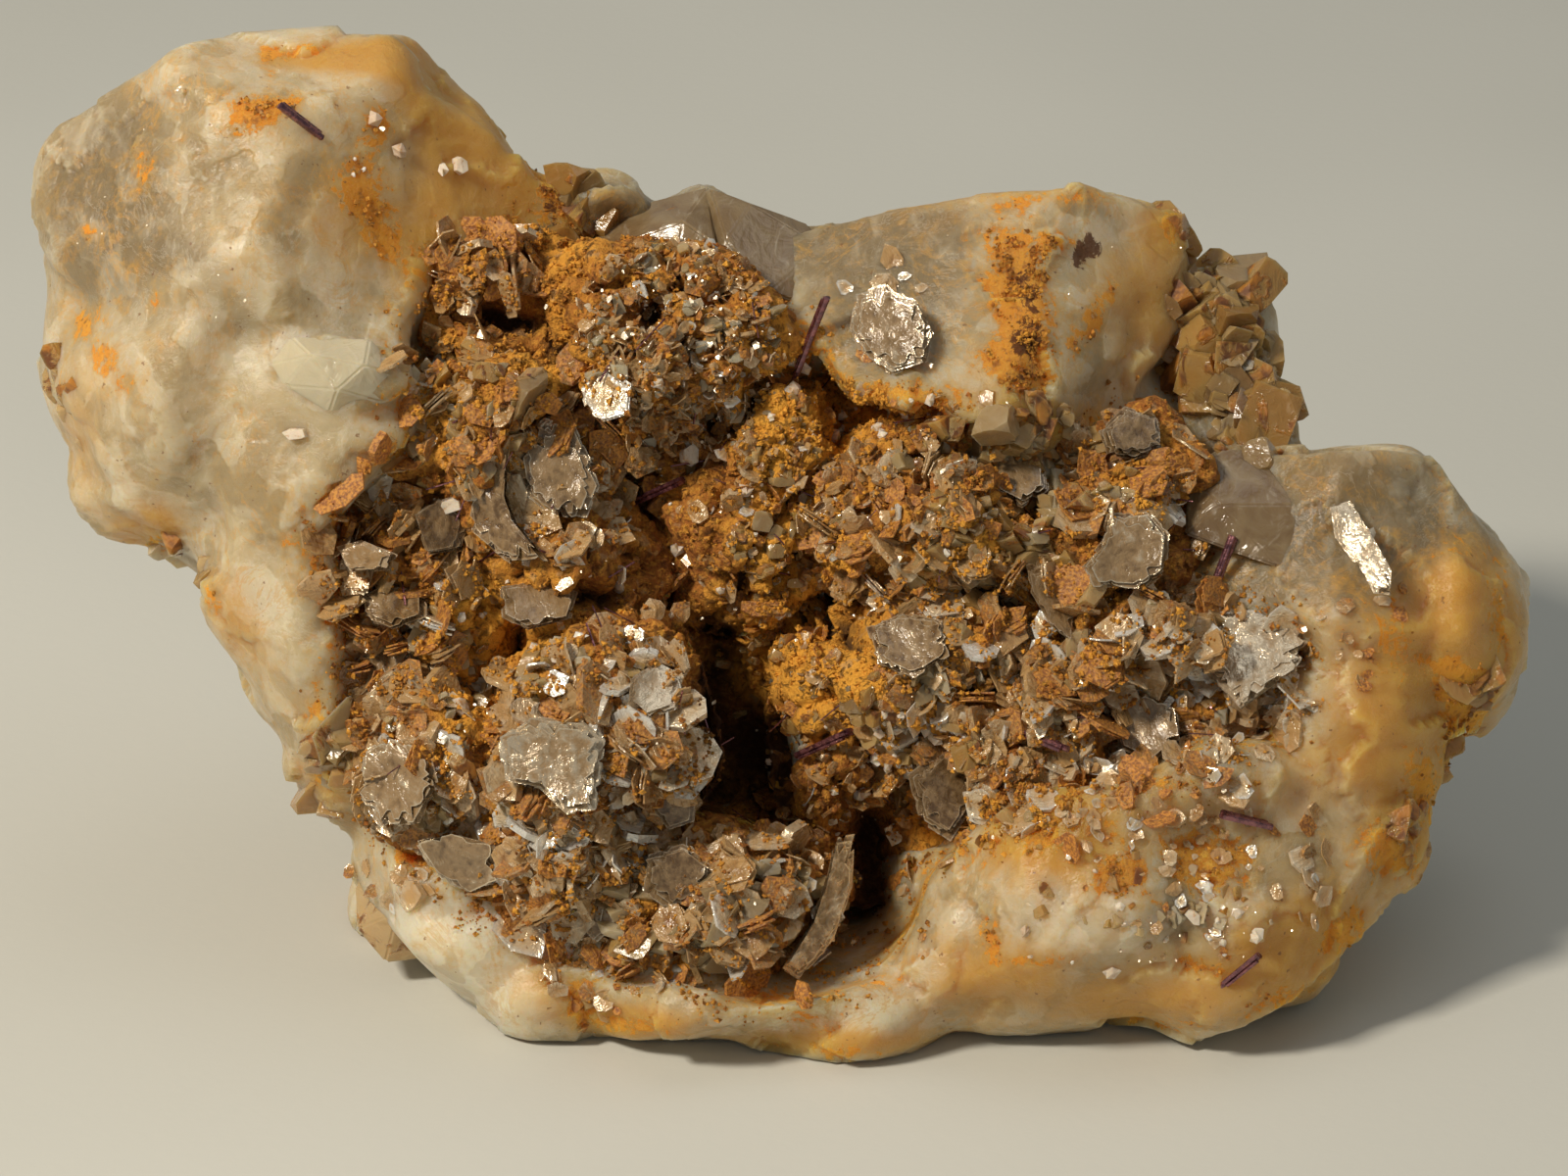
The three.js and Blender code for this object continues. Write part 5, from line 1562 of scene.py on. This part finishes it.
# Crystals with clean faces, as corners of the specimen's face in mm.
CRYSTALS = [
    ("clear_crystal", 0.95, 0.0, [
        (-20.6, 7.4, 4.1), (-19.8, 8.5, 3.9), (-16.6, 8.4, 4.2), (-15.1, 6.8, 4.2), (-15.9, 5.8, 4.3),
        (-18.2, 5.4, 4.5),
        (-20, 6.5, 4.4), (-18.9, 7.7, 5.3), (-16.7, 7.3, 5.4), (-17.8, 6.3, 5.5), (-19.6, 7, 0),
        (-16, 7, 0),
    ]),
    ("glassy_crystal_1", 0.28, 0.2, [
        (-8.3, 13.5, -6), (-5.6, 14.6, -6.2), (-3.2, 15.2, -6), (-4.2, 13.6, -3.4), (-7.6, 12.4, -4),
        (-2.8, 12.6, -3),
        (-4.6, 10.4, -2.6), (-8, 11, -4.2), (-3, 14, -11), (-8, 12.6, -11), (-2.6, 11, -3),
    ]),
    ("glassy_crystal_2", 0.3, 0.1, [
        (-3.9, 15, -7), (-3.1, 15.1, -5.2), (-1.4, 14.4, -4.6), (1, 13.6, -5.4), (1.6, 12.6, -4.4),
        (-2.4, 12.8, -2.8),
        (-0.6, 10.6, -2), (-2.8, 10.4, -2.6), (1.2, 10, -2.8), (1, 13, -11), (-3.4, 14, -11),
    ]),
    ("grey_crystal_1", 0.26, 0.1, [
        (16.6, 3.2, -1.6), (18.2, 4.2, -2.4), (23.8, 3.6, -2.6), (21.8, 1.8, -0.2), (17.8, 1.8, -0.2),
        (16.4, 0.6, -0.4),
        (20.2, -0.8, 0.6), (22.4, -0.2, 0), (17, 0, -6), (23, 1, -6),
    ]),
    ("stained_crystal", 0.85, 0.62, [
        (-17.9, -14, -5), (-16.8, -12.9, -4.6), (-15.4, -13.2, -4), (-14.6, -15, -3.6), (-14.8, -17, -4.6),
        (-16.6, -17.2, -4.4), (-17.8, -15.8, -4.6), (-16, -15, -3), (-16.6, -14.6, -9), (-15, -16, -9),
    ]),
]


def crystal(name, tone, rust, corners):
    """The convex hull of its corners, with its edges taken off."""
    corner = bpy.data.meshes.new("corners")
    corner.vertices.add(len(corners))
    corner.vertices.foreach_set("co", (off_face(np.array(corners, float)) * MM).ravel())
    shape = bmesh.new()
    shape.from_mesh(corner)
    hull = bmesh.ops.convex_hull(shape, input=shape.verts)
    bmesh.ops.delete(shape, geom=hull["geom_interior"] + hull["geom_unused"], context="VERTS")
    bmesh.ops.bevel(shape, geom=shape.edges, offset=0.09 * MM, segments=2, affect="EDGES", clamp_overlap=True)
    bmesh.ops.triangulate(shape, faces=shape.faces)
    bmesh.ops.recalc_face_normals(shape, faces=shape.faces)
    mesh = bpy.data.meshes.new(name)
    shape.to_mesh(mesh)
    shape.free()
    count = len(mesh.vertices)
    give(mesh, tone=np.full(count, tone), rust=np.full(count, rust))
    piece(name, mesh, GLASSY_FELDSPAR, "milky_feldspar")


# Clusters of broken crystals: x, y and half sizes in pixels, how many, least and greatest half size in mm,
# their tone from smoky to clear, how rusty they are, and how deep they are sunk as a share of their size.
SHARD_CLUSTERS = [
    (1262, 300, 26, 62, 64, 0.35, 1.2, 0.3, 0.6, 0.45),
    (1288, 400, 38, 56, 64, 0.35, 1.25, 0.3, 0.55, 0.45), (585, 210, 28, 36, 8, 0.5, 1.0, 0.1, 0.6, 0.5),
    (700, 245, 70, 30, 5, 0.4, 0.8, 0.5, 0.1, 0.8), (1510, 760, 24, 80, 18, 0.4, 0.9, 0.3, 0.8, 0.6),
    (1440, 860, 26, 50, 14, 0.4, 0.9, 0.35, 0.8, 0.6), (740, 950, 56, 40, 12, 0.5, 1.1, 0.5, 0.2, 0.6),
    (1210, 925, 22, 14, 14, 0.2, 0.4, 0.8, 0.4, 0.3), (1160, 890, 120, 60, 24, 0.15, 0.45, 0.5, 0.6, 0.4),
    (175, 575, 44, 24, 12, 0.5, 1.0, 0.75, 0.6, 0.6), (330, 790, 30, 50, 12, 0.5, 1.1, 0.65, 0.5, 0.6),
    (610, 1040, 60, 14, 8, 0.3, 0.6, 0.5, 0.8, 0.8), (60, 400, 20, 60, 8, 0.4, 0.9, 0.6, 0.7, 0.7),
]
# The same for the small glassy grains of the crust.
GRAIN_CLUSTERS = [
    (1030, 520, 130, 110, 190, 0.2, 0.7, 0.45, 0.5, 0.2),
    (1000, 730, 140, 100, 150, 0.2, 0.6, 0.5, 0.5, 0.2),
    (700, 360, 100, 110, 120, 0.15, 0.4, 0.6, 0.3, 0.2), (480, 420, 70, 90, 50, 0.25, 0.6, 0.5, 0.5, 0.2),
    (700, 930, 160, 60, 90, 0.2, 0.7, 0.5, 0.4, 0.2), (440, 740, 60, 120, 80, 0.2, 0.6, 0.55, 0.5, 0.2),
    (800, 560, 60, 200, 110, 0.12, 0.4, 0.4, 0.7, 0.2), (1200, 680, 120, 80, 60, 0.2, 0.6, 0.6, 0.4, 0.2),
    (600, 760, 110, 110, 70, 0.2, 0.5, 0.6, 0.4, 0.2),
]


SHARD_SCALE = 0.8  # how large the crystals are made, against the tables' half sizes


def shards(name, clusters, seed):
    """Broken crystals set in the surface, in clusters whose crystals grew nearly parallel."""
    random = np.random.default_rng(seed)
    places, halves, tones, rusts, facings, spins = [], [], [], [], [], []
    for x, y, wide, high, count, least, greatest, tone, rust, sunk in clusters:
        spot, normal = landings(random, in_spot(random, count, x, y, wide, high), 0.3)
        size = least + (greatest - least) * random.uniform(0, 1, len(spot)) ** 1.5
        places.append(spot - normal * (sunk * size)[:, None])
        halves.append(size[:, None] * random.uniform(0.5, 1.3, (len(spot), 3)))
        facings.append(unit(random_directions(random, 1) + 0.4 * random_directions(random, len(spot))))
        spins.append(random.uniform(0, np.pi) + random.normal(0, 0.3, len(spot)))
        tones.append(tone + random.normal(0, 0.18, len(spot)))
        rusts.append(np.clip(rust + random.normal(0, 0.15, len(spot)), 0, 1))
    places, halves = np.concatenate(places), np.concatenate(halves)
    shapes = shard_shapes(halves * SHARD_SCALE, random)
    points = placed(shapes, places, np.concatenate(facings), np.concatenate(spins))
    return many(name, points, BLOCK_TRIANGLES, tone=np.concatenate(tones), rust=np.concatenate(rusts))


for name, tone, rust, corners in CRYSTALS:
    crystal(name, tone, rust, corners)
piece("broken_crystals", shards("broken_crystals", SHARD_CLUSTERS, 401), GLASSY_FELDSPAR, "milky_feldspar")
piece("glassy_grains", shards("glassy_grains", GRAIN_CLUSTERS, 402), GLASSY_FELDSPAR, "small_feldspar")
for book in BOOKS:
    mica_book(book)
for needle in NEEDLES:
    rutile_prism(needle)
piece("rutile_hairs", hair_needles(), RUTILE, "rutile")
for rhomb in RHOMBS:
    small_crystal(rhomb)

dusted = [as_arrays(bpy.data.meshes[name]) for name in ("mica_flakes", "mica_small_books")]
dusted_ground = tree_of(BARE + dusted)
for name, seed in (("iron_oxide_crumbs_1", 23), ("iron_oxide_crumbs_2", 24)):
    piece(name, iron_crumbs(name, dusted_ground, seed), IRON_OXIDE, "iron_oxide_crust")
